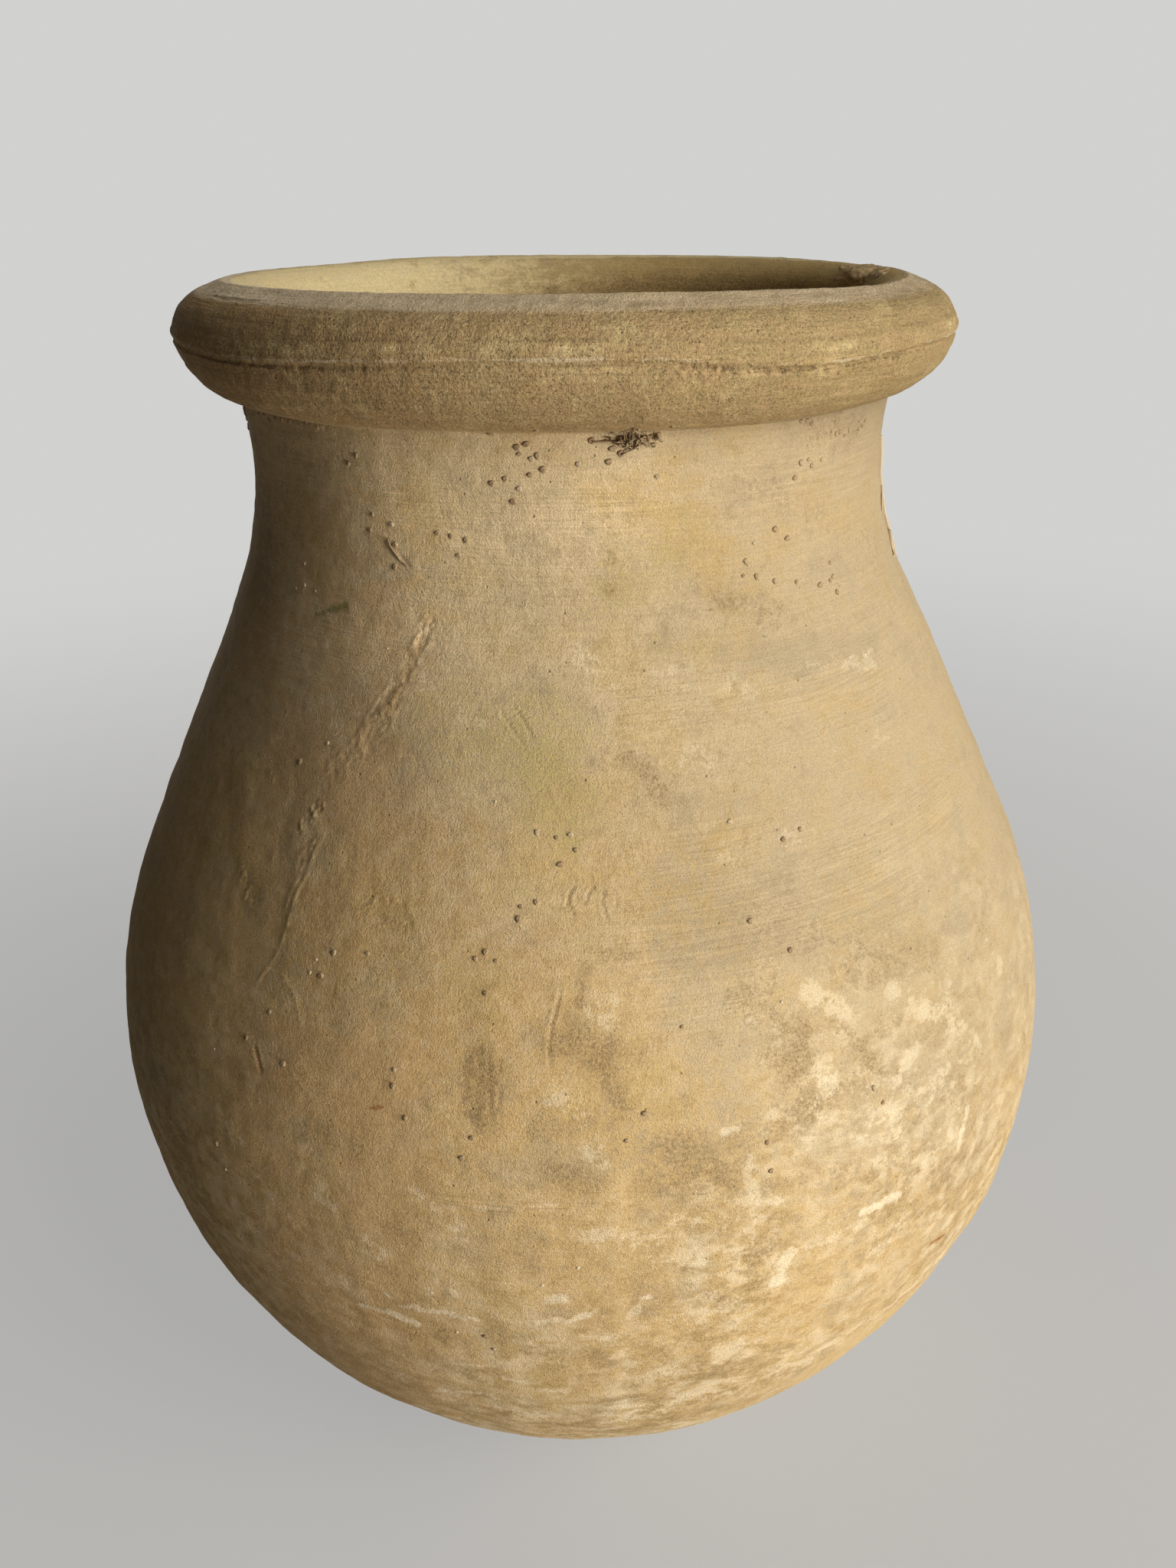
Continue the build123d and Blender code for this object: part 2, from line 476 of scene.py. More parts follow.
def path_distance(points, stops):
    """Distance of points to a line through stops, and how far along it, from 0 to 1."""
    lengths = np.linalg.norm(np.diff(stops, axis=0), axis=1)
    before = np.r_[0, np.cumsum(lengths)]
    best = np.full(points.shape[:-1], np.inf)
    share = np.zeros(points.shape[:-1])
    for i, length in enumerate(lengths):
        way = (stops[i + 1] - stops[i]) / length
        t = np.clip((points - stops[i]) @ way, 0, length)
        gap = np.linalg.norm(points - stops[i] - t[..., None] * way, axis=-1)
        closer = gap < best
        best[closer] = gap[closer]
        share[closer] = ((before[i] + t) / before[-1])[closer]
    return best, share


def near(points, stops, reach):
    """Which points lie in the box round the stops, let out by a reach."""
    low, high = stops.min(0) - reach, stops.max(0) + reach
    return np.all((points > low) & (points < high), axis=-1)


path, piece_rows = skin()
body, wall_normals = thrown(path)
faces_out = np.einsum("ijk,ijk->ij", body, wall_normals * (1, 1, 0)) > 0
surface = Surface(body, 3, 4)
add_camera()


def stops_at(pixels):
    """Points of the skin under some pixels of the photograph."""
    return np.array([tuple(surface.hit(*pixel)[0]) for pixel in pixels])


# Marks in the clay, by pixels of the photograph, with sizes in millimetres.
# Welts are thin raised lines: pixels, width, height
WELTS = [
    ([(547, 823), (549, 812), (557, 805), (566, 806), (571, 814), (569, 823)], 1.0, 0.22),
    ([(569, 823), (551, 855), (532, 890), (521, 920), (506, 960)], 1.1, 0.13),
    ([(547, 823), (534, 847), (517, 882), (492, 915), (468, 955), (459, 972)], 1.1, 0.14),
    ([(425, 1084), (411, 1110), (399, 1144), (387, 1166), (377, 1195), (374, 1210),
      (362, 1245)], 1.1, 0.30),
    ([(417, 1084), (403, 1112), (391, 1143), (379, 1165), (369, 1195)], 1.1, 0.22),
    ([(365, 1239), (350, 1262), (334, 1284)], 1.1, 0.26),
    ([(364, 1270), (380, 1290), (388, 1310), (394, 1346)], 1.1, 0.26),
    ([(380, 1400), (392, 1415), (405, 1432)], 1.2, 0.2),
    ([(719, 1024), (724, 1044), (732, 1060), (736, 1070)], 0.9, 0.16),
    ([(443, 1278), (441, 1304)], 1.0, 0.2),
    ([(320, 1135), (314, 1150), (322, 1166), (316, 1180)], 1.4, 0.3),
    ([(356, 1112), (352, 1132)], 1.3, 0.25),
    ([(600, 975), (607, 985)], 1.6, 0.35),
    ([(349, 1008), (357, 1020)], 1.4, 0.3),
]
# Grooves are pressed or scratched lines with a lip: pixels, width, depth, lip
GROOVES = [
    ([(654, 922), (657, 935), (666, 947), (672, 958), (684, 972)], 0.8, 0.16, 0.12),
    ([(668, 922), (680, 936), (690, 952), (696, 966)], 0.8, 0.16, 0.12),
    ([(752, 1156), (744, 1166), (741, 1180), (752, 1196)], 0.7, 0.4, 0.12),
    ([(780, 1154), (768, 1167), (764, 1182)], 0.7, 0.36, 0.12),
    ([(789, 1162), (786, 1178), (790, 1192), (796, 1206)], 0.7, 0.36, 0.12),
    ([(800, 1160), (807, 1176), (802, 1190)], 0.8, 0.2, 0.1),
    ([(734, 1290), (726, 1318), (719, 1346), (716, 1377), (722, 1404)], 0.8, 0.28, 0.14),
    ([(332, 1366), (336, 1382), (342, 1402)], 1.0, 0.35, 0.1),
    ([(690, 781), (719, 776)], 0.8, 0.2, 0.1),
    ([(518, 716), (526, 730), (540, 745), (562, 757), (600, 762)], 0.7, 0.14, 0.05),
    ([(272, 386), (290, 390), (318, 394), (352, 397)], 0.9, 0.3, 0.25),
]
# Rough places, where clay was torn or crumbs stuck: pixels, half width, height
ROUGH_RUNS = [
    ([(560, 812), (548, 834)], 2.9, 0.45), ([(548, 840), (505, 925)], 3.6, 0.3),
    ([(505, 925), (478, 962), (440, 1005)], 5.5, 0.26), ([(418, 1050), (394, 1080)], 2.6, 0.55),
    ([(408, 1090), (390, 1130)], 2.6, 0.2), ([(318, 1136), (322, 1178)], 2.4, 0.3),
    ([(490, 1180), (530, 1200)], 7.0, 0.22), ([(325, 540), (420, 557)], 2.4, 0.3),
    ([(1216, 1495), (1220, 1560)], 2.2, 0.35), ([(1180, 1640), (1200, 1625)], 2.5, 0.3),
    ([(1130, 1690), (1150, 1675)], 2.0, 0.3),
]
# A patch that something dragged over: close upright ribs
RIBBED = [(632, 1388), (630, 1452)]
RIBBED_REACH = 6.5
RIB_NOISES = [(1.0, (1.7, 1.7, 30.0), 31), (0.4, (2.6, 2.6, 9.0), 32)]
RIB_HEIGHT = 0.17
MARK_REACH = 4.0
CRUMBLED_NOISES = [(0.6, 2.4, 21), (0.6, 1.3, 22)]


def raised(points, stops, width, height):
    """How far a welt lifts the clay."""
    gap, share = path_distance(points, stops)
    ends = smooth_step(0, 0.1, share) * smooth_step(1.0, 0.9, share)
    uneven = 0.75 + 0.5 * noise(points, 2.2, 20)
    return ends * uneven * height * np.exp(-((gap / (0.6 * width)) ** 2))


def pressed(points, stops, width, depth, lip):
    """How far a groove sinks the clay, and lifts it on both sides."""
    gap, share = path_distance(points, stops)
    ends = smooth_step(0, 0.1, share) * smooth_step(1.0, 0.85, share)
    groove = depth * np.exp(-((gap / (0.6 * width)) ** 2))
    rise = lip * np.exp(-(((gap - 1.4 * width) / (0.6 * width)) ** 2))
    return ends * (rise - groove)


def crumbled(points, stops, half, height):
    """The uneven clay of a rough place."""
    gap, _ = path_distance(points, stops)
    torn = layered(points, CRUMBLED_NOISES)
    return height * torn * smooth_step(1.2 * half, 0.5 * half, gap)


def ribbed(points, stops):
    """The ribs of the patch that something dragged over."""
    gap, _ = path_distance(points, stops)
    ribs = layered(points, RIB_NOISES)
    return RIB_HEIGHT * ribs * smooth_step(RIBBED_REACH, 0.6 * RIBBED_REACH, gap)


# The ridge on the rim isn't level: pixels along its light edge, from left to right
RIDGE_LINE = [(228, 440), (286, 459), (337, 466), (423, 468), (509, 467), (600, 465),
              (740, 465), (848, 464), (948, 469), (1020, 472), (1056, 471), (1097, 467),
              (1141, 459), (1197, 446), (1238, 434)]
RIDGE_MOST = 3.6
RIDGE_WAVER = 0.25
WAVER_REACH = 8.0
WORN_SHARE = 0.7
# A second, fainter line above the ridge, and its depth
SECOND_LINE_RISE = 4.6
SECOND_LINE_DEPTH = 0.16
# The groove under the ridge: a sharp line, filled with slurry on the left
LINE_DEPTH = 0.15
LINE_HALF = 0.45
FILLED_HALF = 1.3
FILLED_RISE = 0.4
SLURRY_DROP = 0.8
SLURRY_HALF = 1.7
SLURRY_RISE = 0.75
SLURRY_NOISES = [(0.7, 2.4, 21), (0.7, 1.2, 22)]
# Fine unevenness of the whole skin, and of the rim alone
SKIN_NOISES = [(0.12, 7.0, 14), (0.07, 3.4, 15), (0.07, (60.0, 60.0, 2.6), 16)]
RIM_NOISES = [(0.12, 2.8, 17), (0.1, (30.0, 30.0, 1.6), 18)]
ridge_places = stops_at(RIDGE_LINE)
ridge_turns = np.arctan2(ridge_places[:, 1], ridge_places[:, 0] - LEAN_TOP)
ridge_lifts = np.clip(ridge_places[:, 2] - RIDGE_HEIGHT, -RIDGE_MOST, RIDGE_MOST)


def waver(points):
    """Lifts and lowers the ridge on its way round the rim."""
    radius = np.hypot(points[..., 0], points[..., 1])
    turns = np.arctan2(points[..., 1], points[..., 0] - LEAN_TOP)
    window = np.exp(-(((points[..., 2] - RIDGE_HEIGHT) / WAVER_REACH) ** 2))
    window *= smooth_step(NECK_RADIUS + RIM_REACH / 2, RIM_SIDE, radius)
    lift = np.interp(turns, ridge_turns, ridge_lifts, period=2 * math.pi)
    return (lift + RIDGE_WAVER * noise(points, (9.0, 9.0, 400.0), 52)) * window


def second_line(points):
    """1 along the faint line above the ridge, 0 away from it."""
    radius = np.hypot(points[..., 0], points[..., 1])
    gap = points[..., 2] - RIDGE_HEIGHT - SECOND_LINE_RISE
    outer = smooth_step(RIM_SIDE - 6, RIM_SIDE - 3, radius)
    return np.exp(-((gap / 0.5) ** 2)) * outer * smooth_step(-0.7, 0.3, noise(points, 17.0, 83))


def on_line(points, level, half):
    """1 along a level line round the outside of the rim, 0 away from it."""
    radius = np.hypot(points[..., 0] - LEAN_TOP, points[..., 1])
    outer = smooth_step(RIM_SIDE - 3, RIM_SIDE - 1, radius)
    return outer * np.exp(-(((points[..., 2] - level) / half) ** 2))


def slurry(points):
    """Where crumbs of slurry stuck under the ridge: on its right and a little on its left."""
    share = across(points, 18, 34) * across(points, 128, 95) + 0.3 * across(points, -45, -60)
    return share * on_line(points, GROOVE_HEIGHT - SLURRY_DROP, SLURRY_HALF)


def worn(points):
    """How far the ridge is rubbed down."""
    radius = np.hypot(points[..., 0], points[..., 1])
    proud = smooth_step(0.1, 0.6, radius - RIM_SIDE)
    loss = smooth_step(-0.1, 0.6, noise(points, (22.0, 22.0, 400.0), 53))
    return WORN_SHARE * RIDGE_PROUD * loss * proud


def marked(points, normals):
    """The skin with every mark pressed into it."""
    push = layered(points, SKIN_NOISES)
    push += up(points, CREASE[1], CREASE[1] + 4) * faces_out * layered(points, RIM_NOISES)
    push *= up(points, 0, FLAT_FOOT_HEIGHT)
    push -= worn(points) + SECOND_LINE_DEPTH * second_line(points)
    fainter = 1 - 0.6 * across(points, 0, -90)
    push -= LINE_DEPTH * fainter * on_line(points, GROOVE_HEIGHT, LINE_HALF)
    filled = FILLED_RISE * across(points, -50, -105)
    push += filled * on_line(points, GROOVE_HEIGHT, FILLED_HALF)
    push += SLURRY_RISE * slurry(points) * layered(points, SLURRY_NOISES)
    shapes = [(raised, *mark) for mark in WELTS] + [(pressed, *mark) for mark in GROOVES]
    shapes += [(crumbled, *mark) for mark in ROUGH_RUNS] + [(ribbed, RIBBED)]
    for shape, pixels, *sizes in shapes:
        stops = stops_at(pixels)
        reach = MARK_REACH + 1.5 * (sizes[0] if sizes else RIBBED_REACH)
        chosen = near(points, stops, reach) & faces_out
        push[chosen] += shape(points[chosen], stops, *sizes)
    moved = points + normals * push[..., None]
    moved[..., 2] += waver(points)
    return moved


def grid_normals(points):
    """Unit normals of the skin from its neighbours, up, down and round."""
    along = np.gradient(points, axis=0)
    around = np.roll(points, -1, 1) - np.roll(points, 1, 1)
    normals = np.cross(around, along)
    return normals / np.linalg.norm(normals, axis=-1, keepdims=True)


skin_points = marked(body, wall_normals)
skin_normals = grid_normals(skin_points)
marked_surface = Surface(skin_points, 2, 2)


# Colour areas by pixels of the photograph: start and end, half width in pixels, strength
PALE_STROKES = [
    (1126, 1584, 1174, 1560, 5, 0.95), (1014, 1675, 1032, 1637, 8, 0.9),
    (472, 1704, 508, 1716, 4, 0.7), (508, 1716, 545, 1731, 5, 0.85),
    (503, 1690, 512, 1696, 3, 0.6), (523, 1706, 543, 1709, 4, 0.65),
    (549, 1713, 584, 1716, 4, 0.8), (588, 1719, 621, 1724, 5, 0.7),
    (703, 1728, 734, 1722, 4, 0.6), (738, 1727, 779, 1713, 4, 0.75),
    (822, 1719, 836, 1710, 6, 0.7), (838, 1698, 850, 1695, 4, 0.75),
    (716, 1700, 736, 1695, 6, 0.75), (592, 1783, 645, 1786, 2, 0.6),
    (761, 1744, 804, 1750, 4, 0.5), (902, 1782, 932, 1780, 4, 0.5),
    (578, 1817, 640, 1822, 6, 0.7), (640, 1826, 656, 1830, 4, 0.6),
    (663, 1803, 688, 1807, 5, 0.6), (694, 1813, 742, 1817, 6, 0.45),
    (560, 1689, 559, 1692, 6, 0.6), (590, 1672, 593, 1692, 5, 0.5),
    (446, 1672, 454, 1680, 7, 0.5), (1168, 1578, 1176, 1560, 3, 0.5),
    (576, 1577, 660, 1580, 3, 0.4), (662, 1578, 730, 1573, 2, 0.35),
    (1128, 852, 1140, 852, 6, 0.3), (1054, 870, 1068, 862, 3, 0.35),
    (1072, 878, 1092, 868, 3, 0.3), (1252, 1497, 1263, 1448, 5, 0.7),
    (943, 1478, 962, 1474, 4, 0.6), (985, 1608, 984, 1626, 2, 0.6),
    (966, 1575, 960, 1600, 2, 0.4), (1000, 1770, 1030, 1762, 3, 0.4),
]
PALE_CLOUDS = [
    (1080, 860, 1140, 870, 10, 0.4),
    (1168, 1294, 1208, 1316, 15, 0.6), (1208, 1318, 1254, 1340, 15, 0.6),
    (1238, 1306, 1242, 1286, 9, 0.5), (1052, 1298, 1104, 1318, 16, 0.7),
    (1080, 1404, 1088, 1406, 19, 0.75), (1196, 1366, 1176, 1402, 10, 0.6),
    (1176, 1402, 1157, 1446, 11, 0.6), (1274, 1352, 1282, 1372, 8, 0.55),
    (979, 1515, 982, 1574, 9, 0.6), (1013, 1566, 1015, 1570, 8, 0.55),
    (990, 1336, 1010, 1350, 14, 0.4), (788, 1322, 792, 1336, 17, 0.5),
    (736, 1440, 750, 1450, 20, 0.55), (778, 1508, 784, 1514, 18, 0.65),
    (765, 1612, 857, 1622, 14, 0.5), (1010, 1460, 1060, 1490, 10, 0.4),
    (1120, 1480, 1180, 1450, 12, 0.45), (1190, 1540, 1250, 1480, 12, 0.35),
    (590, 1600, 600, 1608, 18, 0.4), (486, 1630, 498, 1636, 14, 0.45),
    (540, 1560, 560, 1575, 14, 0.35), (880, 1590, 960, 1600, 16, 0.4),
    (860, 1650, 1000, 1640, 18, 0.4), (1060, 1630, 1140, 1590, 16, 0.4),
    (400, 1530, 470, 1620, 16, 0.35), (300, 1470, 380, 1600, 12, 0.3),
    (250, 1380, 290, 1460, 10, 0.3), (560, 1850, 900, 1860, 26, 0.6),
    (480, 1780, 700, 1850, 22, 0.4), (820, 1840, 1050, 1780, 24, 0.45),
    (1060, 1770, 1230, 1640, 18, 0.45), (1230, 1640, 1320, 1480, 14, 0.4),
    (869, 872, 981, 901, 15, 0.25), (900, 1000, 1170, 960, 26, 0.22),
    (800, 880, 760, 860, 20, 0.3), (1090, 1250, 1160, 1230, 16, 0.3),
    (1280, 1200, 1320, 1300, 10, 0.3), (940, 1120, 1060, 1090, 16, 0.25),
    (560, 900, 620, 940, 24, 0.25),
]
BROWN_CLOUDS = [
    (300, 1000, 330, 1180, 22, 0.5), (1060, 560, 1120, 560, 22, 0.4),
    (960, 1300, 1020, 1340, 16, 0.5), (1090, 1330, 1150, 1400, 12, 0.5),
    (700, 1480, 900, 1440, 14, 0.4), (960, 1560, 1120, 1520, 14, 0.4),
    (780, 1244, 826, 1250, 8, 0.5), (764, 1262, 758, 1310, 10, 0.6),
    (745, 1320, 752, 1345, 14, 0.6), (725, 1362, 790, 1372, 26, 0.75),
    (780, 1385, 812, 1440, 16, 0.65), (709, 1440, 709, 1456, 8, 0.4),
    (632, 1394, 632, 1448, 28, 0.75), (722, 1530, 770, 1556, 20, 0.6),
    (604, 1506, 606, 1520, 9, 0.6), (606, 1536, 612, 1546, 8, 0.4),
    (837, 1372, 840, 1388, 13, 0.5), (930, 1350, 938, 1358, 8, 0.5),
    (1047, 1352, 1040, 1385, 22, 0.65), (1000, 1380, 1030, 1400, 16, 0.5),
    (1019, 1470, 1086, 1425, 20, 0.6), (884, 1500, 940, 1540, 26, 0.6),
    (850, 1545, 900, 1560, 18, 0.5), (680, 1612, 714, 1622, 14, 0.4),
    (1216, 1497, 1218, 1556, 7, 0.6), (1130, 1360, 1180, 1330, 10, 0.4),
    (1110, 1410, 1150, 1380, 8, 0.35), (395, 1472, 476, 1500, 18, 0.65),
    (330, 1500, 360, 1560, 14, 0.45), (400, 1540, 470, 1640, 14, 0.4),
    (240, 1340, 300, 1500, 16, 0.4), (820, 990, 868, 1032, 15, 0.65),
    (850, 1040, 870, 1050, 8, 0.5), (542, 850, 489, 978, 9, 0.6),
    (600, 1640, 700, 1650, 20, 0.4), (560, 1740, 760, 1770, 16, 0.35),
    (820, 1680, 960, 1700, 18, 0.4), (1100, 1650, 1180, 1600, 12, 0.35),
    (953, 780, 1010, 800, 22, 0.4), (800, 700, 798, 770, 9, 0.4),
    (912, 760, 945, 790, 14, 0.35), (470, 1180, 540, 1210, 20, 0.35),
    (350, 640, 352, 720, 12, 0.4), (480, 480, 700, 500, 12, 0.5),
    (990, 630, 1140, 720, 40, 0.22), (980, 1200, 1140, 1260, 40, 0.25),
    (1000, 1300, 1060, 1420, 40, 0.3), (1110, 1260, 1220, 1240, 30, 0.3),
    (1120, 1420, 1240, 1420, 30, 0.3), (700, 1500, 960, 1500, 40, 0.3),
    (300, 470, 470, 490, 9, 0.6), (700, 515, 1000, 510, 16, 0.45),
    (560, 540, 900, 552, 9, 0.45), (930, 545, 1100, 525, 9, 0.4),
    (820, 420, 1000, 415, 12, 0.35), (430, 410, 560, 420, 12, 0.35),
]
GREY_CLOUDS = [
    (840, 1500, 920, 1500, 18, 0.5), (832, 1490, 860, 1560, 16, 0.4),
    (953, 860, 1140, 850, 34, 0.6), (913, 770, 1048, 805, 26, 0.45),
    (900, 1250, 1100, 1190, 30, 0.5), (900, 1050, 1090, 1045, 20, 0.5),
    (1000, 1150, 1120, 1100, 20, 0.4), (1250, 1080, 1300, 1220, 26, 0.45),
    (900, 1120, 960, 1480, 55, 0.55), (1010, 860, 1120, 830, 34, 0.5),
    (420, 880, 440, 960, 36, 0.5), (330, 1190, 370, 1260, 36, 0.55),
    (1200, 1000, 1240, 1080, 20, 0.35), (880, 1560, 905, 1565, 14, 0.5),
    (230, 1150, 300, 1240, 26, 0.3), (640, 740, 720, 790, 26, 0.3),
    (350, 560, 360, 640, 16, 0.3), (732, 600, 724, 680, 14, 0.25),
]
RUDDY_CLOUDS = [
    (558, 815, 505, 925, 13, 0.5), (505, 925, 440, 1010, 24, 0.5),
    (300, 1010, 320, 1080, 34, 0.7), (215, 1190, 260, 1320, 34, 0.7),
    (420, 1290, 480, 1370, 34, 0.4), (330, 1560, 420, 1660, 40, 0.6),
    (600, 1200, 700, 1260, 50, 0.5), (500, 1500, 800, 1700, 90, 0.45),
    (480, 1000, 560, 1060, 40, 0.35), (560, 420, 900, 425, 24, 0.4),
]
OLIVE_CLOUDS = [
    (560, 960, 690, 1010, 46, 0.45), (780, 800, 900, 700, 30, 0.4),
    (700, 930, 740, 1000, 42, 0.5), (720, 1000, 760, 1060, 36, 0.45),
    (700, 1060, 740, 1090, 26, 0.5), (800, 700, 800, 770, 14, 0.4),
    (860, 845, 920, 850, 22, 0.4), (700, 1150, 640, 1190, 16, 0.3),
    (590, 1240, 600, 1300, 20, 0.3), (610, 900, 640, 960, 26, 0.3),
    (760, 1220, 780, 1260, 18, 0.3), (560, 640, 620, 660, 20, 0.25),
]
OCHRE_CLOUDS = [
    (860, 640, 960, 760, 44, 0.5), (480, 640, 620, 800, 40, 0.35),
    (870, 690, 930, 740, 30, 0.4), (840, 670, 900, 650, 22, 0.4),
    (640, 1110, 780, 1130, 50, 0.45), (500, 1170, 560, 1200, 26, 0.5),
    (700, 560, 760, 640, 26, 0.3), (1000, 470, 1080, 462, 14, 0.6),
    (600, 470, 680, 470, 10, 0.5), (560, 500, 640, 512, 14, 0.5),
    (1110, 1640, 1160, 1600, 20, 0.3), (940, 1100, 1000, 1130, 22, 0.3),
    (450, 1120, 520, 1300, 50, 0.35), (430, 1560, 560, 1730, 60, 0.5),
    (860, 600, 940, 620, 22, 0.35),
]
BRUSHED_CLOUDS = [
    (860, 1230, 1160, 1150, 60, 1.0), (880, 1120, 1240, 1050, 40, 0.8),
    (830, 930, 1150, 900, 40, 0.6), (520, 655, 820, 665, 22, 0.9),
    (1000, 640, 1130, 610, 26, 0.7), (560, 740, 760, 760, 20, 0.4),
    (330, 800, 520, 860, 50, 0.4), (250, 395, 420, 412, 26, 1.0),
    (500, 500, 640, 512, 16, 0.5), (900, 1330, 1000, 1300, 30, 0.6),
    (560, 1560, 760, 1585, 18, 0.7), (640, 1680, 900, 1690, 50, 0.4),
]
SMEAR_STROKES = [(412, 803, 430, 797, 2, 0.7), (430, 797, 453, 791, 4, 0.8),
                 (436, 800, 456, 797, 2, 0.5), (417, 805, 430, 812, 2, 0.5)]
RUST_STROKES = [(1216, 1624, 1233, 1613, 3, 1.0), (486, 1446, 500, 1447, 2, 0.8),
                (333, 1368, 342, 1402, 2, 0.6), (1078, 1700, 1110, 1690, 2, 0.3)]
PIXELS_PER_MM = 4.1
CLOUD_SOFTNESS = 0.85
STROKE_SOFTNESS = 0.5
STROKE_WIDENING = 1.4
# How far the edge of a cloud or stroke wanders, as a share of its half width
RAGGEDNESS = 0.5


def painted(points, runs, softness, seed, widening=1.0):
    """How strongly each point of the skin is covered by some runs, from 0 to 1."""
    cover = np.zeros(points.shape[:-1])
    for x0, y0, x1, y1, half, strength in runs:
        reach = widening * half / PIXELS_PER_MM
        stops = stops_at([(x0, y0), (x1, y1)])
        chosen = near(points, stops, 2.6 * reach + 2)
        spots = points[chosen]
        gap, _ = path_distance(spots, stops)
        gap = gap + reach * RAGGEDNESS * noise(spots, max(1.8, 0.9 * reach), seed)
        own = strength * smooth_step(reach * (1 + softness), reach * (1 - softness), gap)
        cover[chosen] = 1 - (1 - cover[chosen]) * (1 - own)
    return cover


# How far round from the front the photograph's view reaches, in radians
SEEN_TURN = 1.25
FLAT_TOP_RADIUS = NECK_RADIUS + ARRIS_REACH
# Noises that the clouds beyond the photograph's view, and the broad patches, follow
STAIN_NOISES = [(1.0, 26.0, 66), (0.5, 9.0, 67)]
CLOUD_NOISES = [(1.0, 42.0, 69), (0.3, 12.0, 70)]
LOOSE_NOISES = [(1.0, 16.0, 61), (0.4, 6.0, 62)]
# The band of painted warm reflected light down the shaded left: its middle on X and its half
# width
RUDDY_MIDDLE = -85.0
RUDDY_HALF = 50.0


class Regions:
    """How far each point of the skin lies in some parts of the jar, from 0 to 1."""

    def __init__(self, points):
        height = points[..., 2]
        away = np.abs(np.arctan2(points[..., 0], -points[..., 1]))
        radius = np.hypot(points[..., 0] - LEAN_TOP, points[..., 1])
        self.unseen = smooth_step(SEEN_TURN - 0.2, SEEN_TURN + 0.25, away)
        self.inside = (~faces_out) & (height < CREST_HEIGHT - 0.3)
        self.outside = np.where(self.inside, 0.0, 1.0)
        self.left = across(points, 30, -110)
        self.lit_left = across(points, 60, -110)
        self.behind = smooth_step(0, 60, points[..., 1])
        self.rim = up(points, CREASE[1] - 1, CREASE[1] + 3) * faces_out
        self.flat = up(points, CREST_HEIGHT - 6, CREST_HEIGHT - 2)
        self.flat *= smooth_step(FLAT_TOP_RADIUS + 1, FLAT_TOP_RADIUS - 1, radius)
        self.chalky = smooth_step(105, 62, height + 7 * noise(points, 20.0, 64))
        self.weathered = across(points, -20, 120) * (0.4 + 0.6 * up(points, 170, 250))
        raised_edge = 90 * across(points, 0, 120) + 40 * self.left
        edge = height - raised_edge + 26 * noise(points, 45.0, 76)
        self.lower = smooth_step(265, 150, edge)
        self.patches = 0.45 + 0.55 * smooth_step(-0.5, 0.5, noise(points, 30.0, 77))
        self.patchy = smooth_step(-0.6, 0.4, noise(points, (20.0, 20.0, 400.0), 82))
        self.clouded = smooth_step(0.1, 0.9, layered(points, CLOUD_NOISES))


def greatest(*shares):
    """The greatest of some shares at each point."""
    return np.maximum.reduce(shares)


def pale_area(points, at):
    """Lime bloom: its clouds, the chalky foot and the hidden side; a painted highlight on the
    ridge, and painted light on the inner wall's left.
    """
    clouds = painted(points, PALE_CLOUDS, CLOUD_SOFTNESS, 60)
    loose = smooth_step(0.35, 0.95, layered(points, LOOSE_NOISES))
    # Painted highlight: a light line along the ridge's lower edge
    ridge = on_line(points, RIDGE_HEIGHT - 0.9, 0.6) * (0.4 + 0.6 * at.patchy)
    pale = greatest(clouds, 0.8 * at.chalky, at.unseen * at.lower * 0.7 * loose, 0.85 * ridge)
    # Inside, painted light on the left of the inner wall, which faces the light
    return np.where(at.inside, 0.3 * at.left, pale)


def brown_area(points, at, stains):
    """Brown stains: their clouds, a belt of loose ones and the rim; inside, painted shade,
    darker away from the lit left and deeper down.
    """
    belt = up(points, 60, 130) * up(points, 330, 220)
    loose = smooth_step(0.3, 0.9, layered(points, STAIN_NOISES)) * (0.2 + 0.4 * at.unseen)
    rim = at.rim * (0.76 + 0.2 * at.left) * (1 - 0.8 * at.flat)
    rim += 0.12 * at.rim * noise(points, 14.0, 78)
    # Painted shade inside the mouth: darker away from the lit left, and deeper below the crest
    deep = up(points, CREST_HEIGHT - 4, CREST_HEIGHT - 10)
    within = (0.95 - 0.95 * at.lit_left) * (0.3 + 0.7 * deep)
    return np.where(at.inside, within, greatest(stains, belt * loose, rim))


def ruddy_area(points, at, stains):
    """Reddish tone: a band of painted warm reflected light down the shaded left, the ruddy
    clouds and the left of the rim.
    """
    # Painted reflection: warm light bounced onto the shaded left
    band = np.exp(-(((points[..., 0] - RUDDY_MIDDLE) / RUDDY_HALF) ** 2))
    band *= smooth_step(60, -40, points[..., 1]) * up(points, 35, 90) * up(points, 480, 380)
    band *= at.patches * (1 - 0.85 * stains)
    clouds = painted(points, RUDDY_CLOUDS, CLOUD_SOFTNESS, 85)
    return greatest(band, clouds, 0.8 * at.rim * at.left * (1 - at.flat)) * at.outside


def mottle_area(points, at):
    """Where the lower belly is mottled with bloom and stains."""
    calm = 1 - 0.35 * across(points, 130, 190)
    calm *= 1 - 0.65 * across(points, 20, 110) * up(points, 165, 105)
    calm *= up(points, 50, 110) * (1 - 0.4 * at.unseen)
    return at.lower * np.maximum(at.patches, 0.85 * at.left) * at.outside * calm


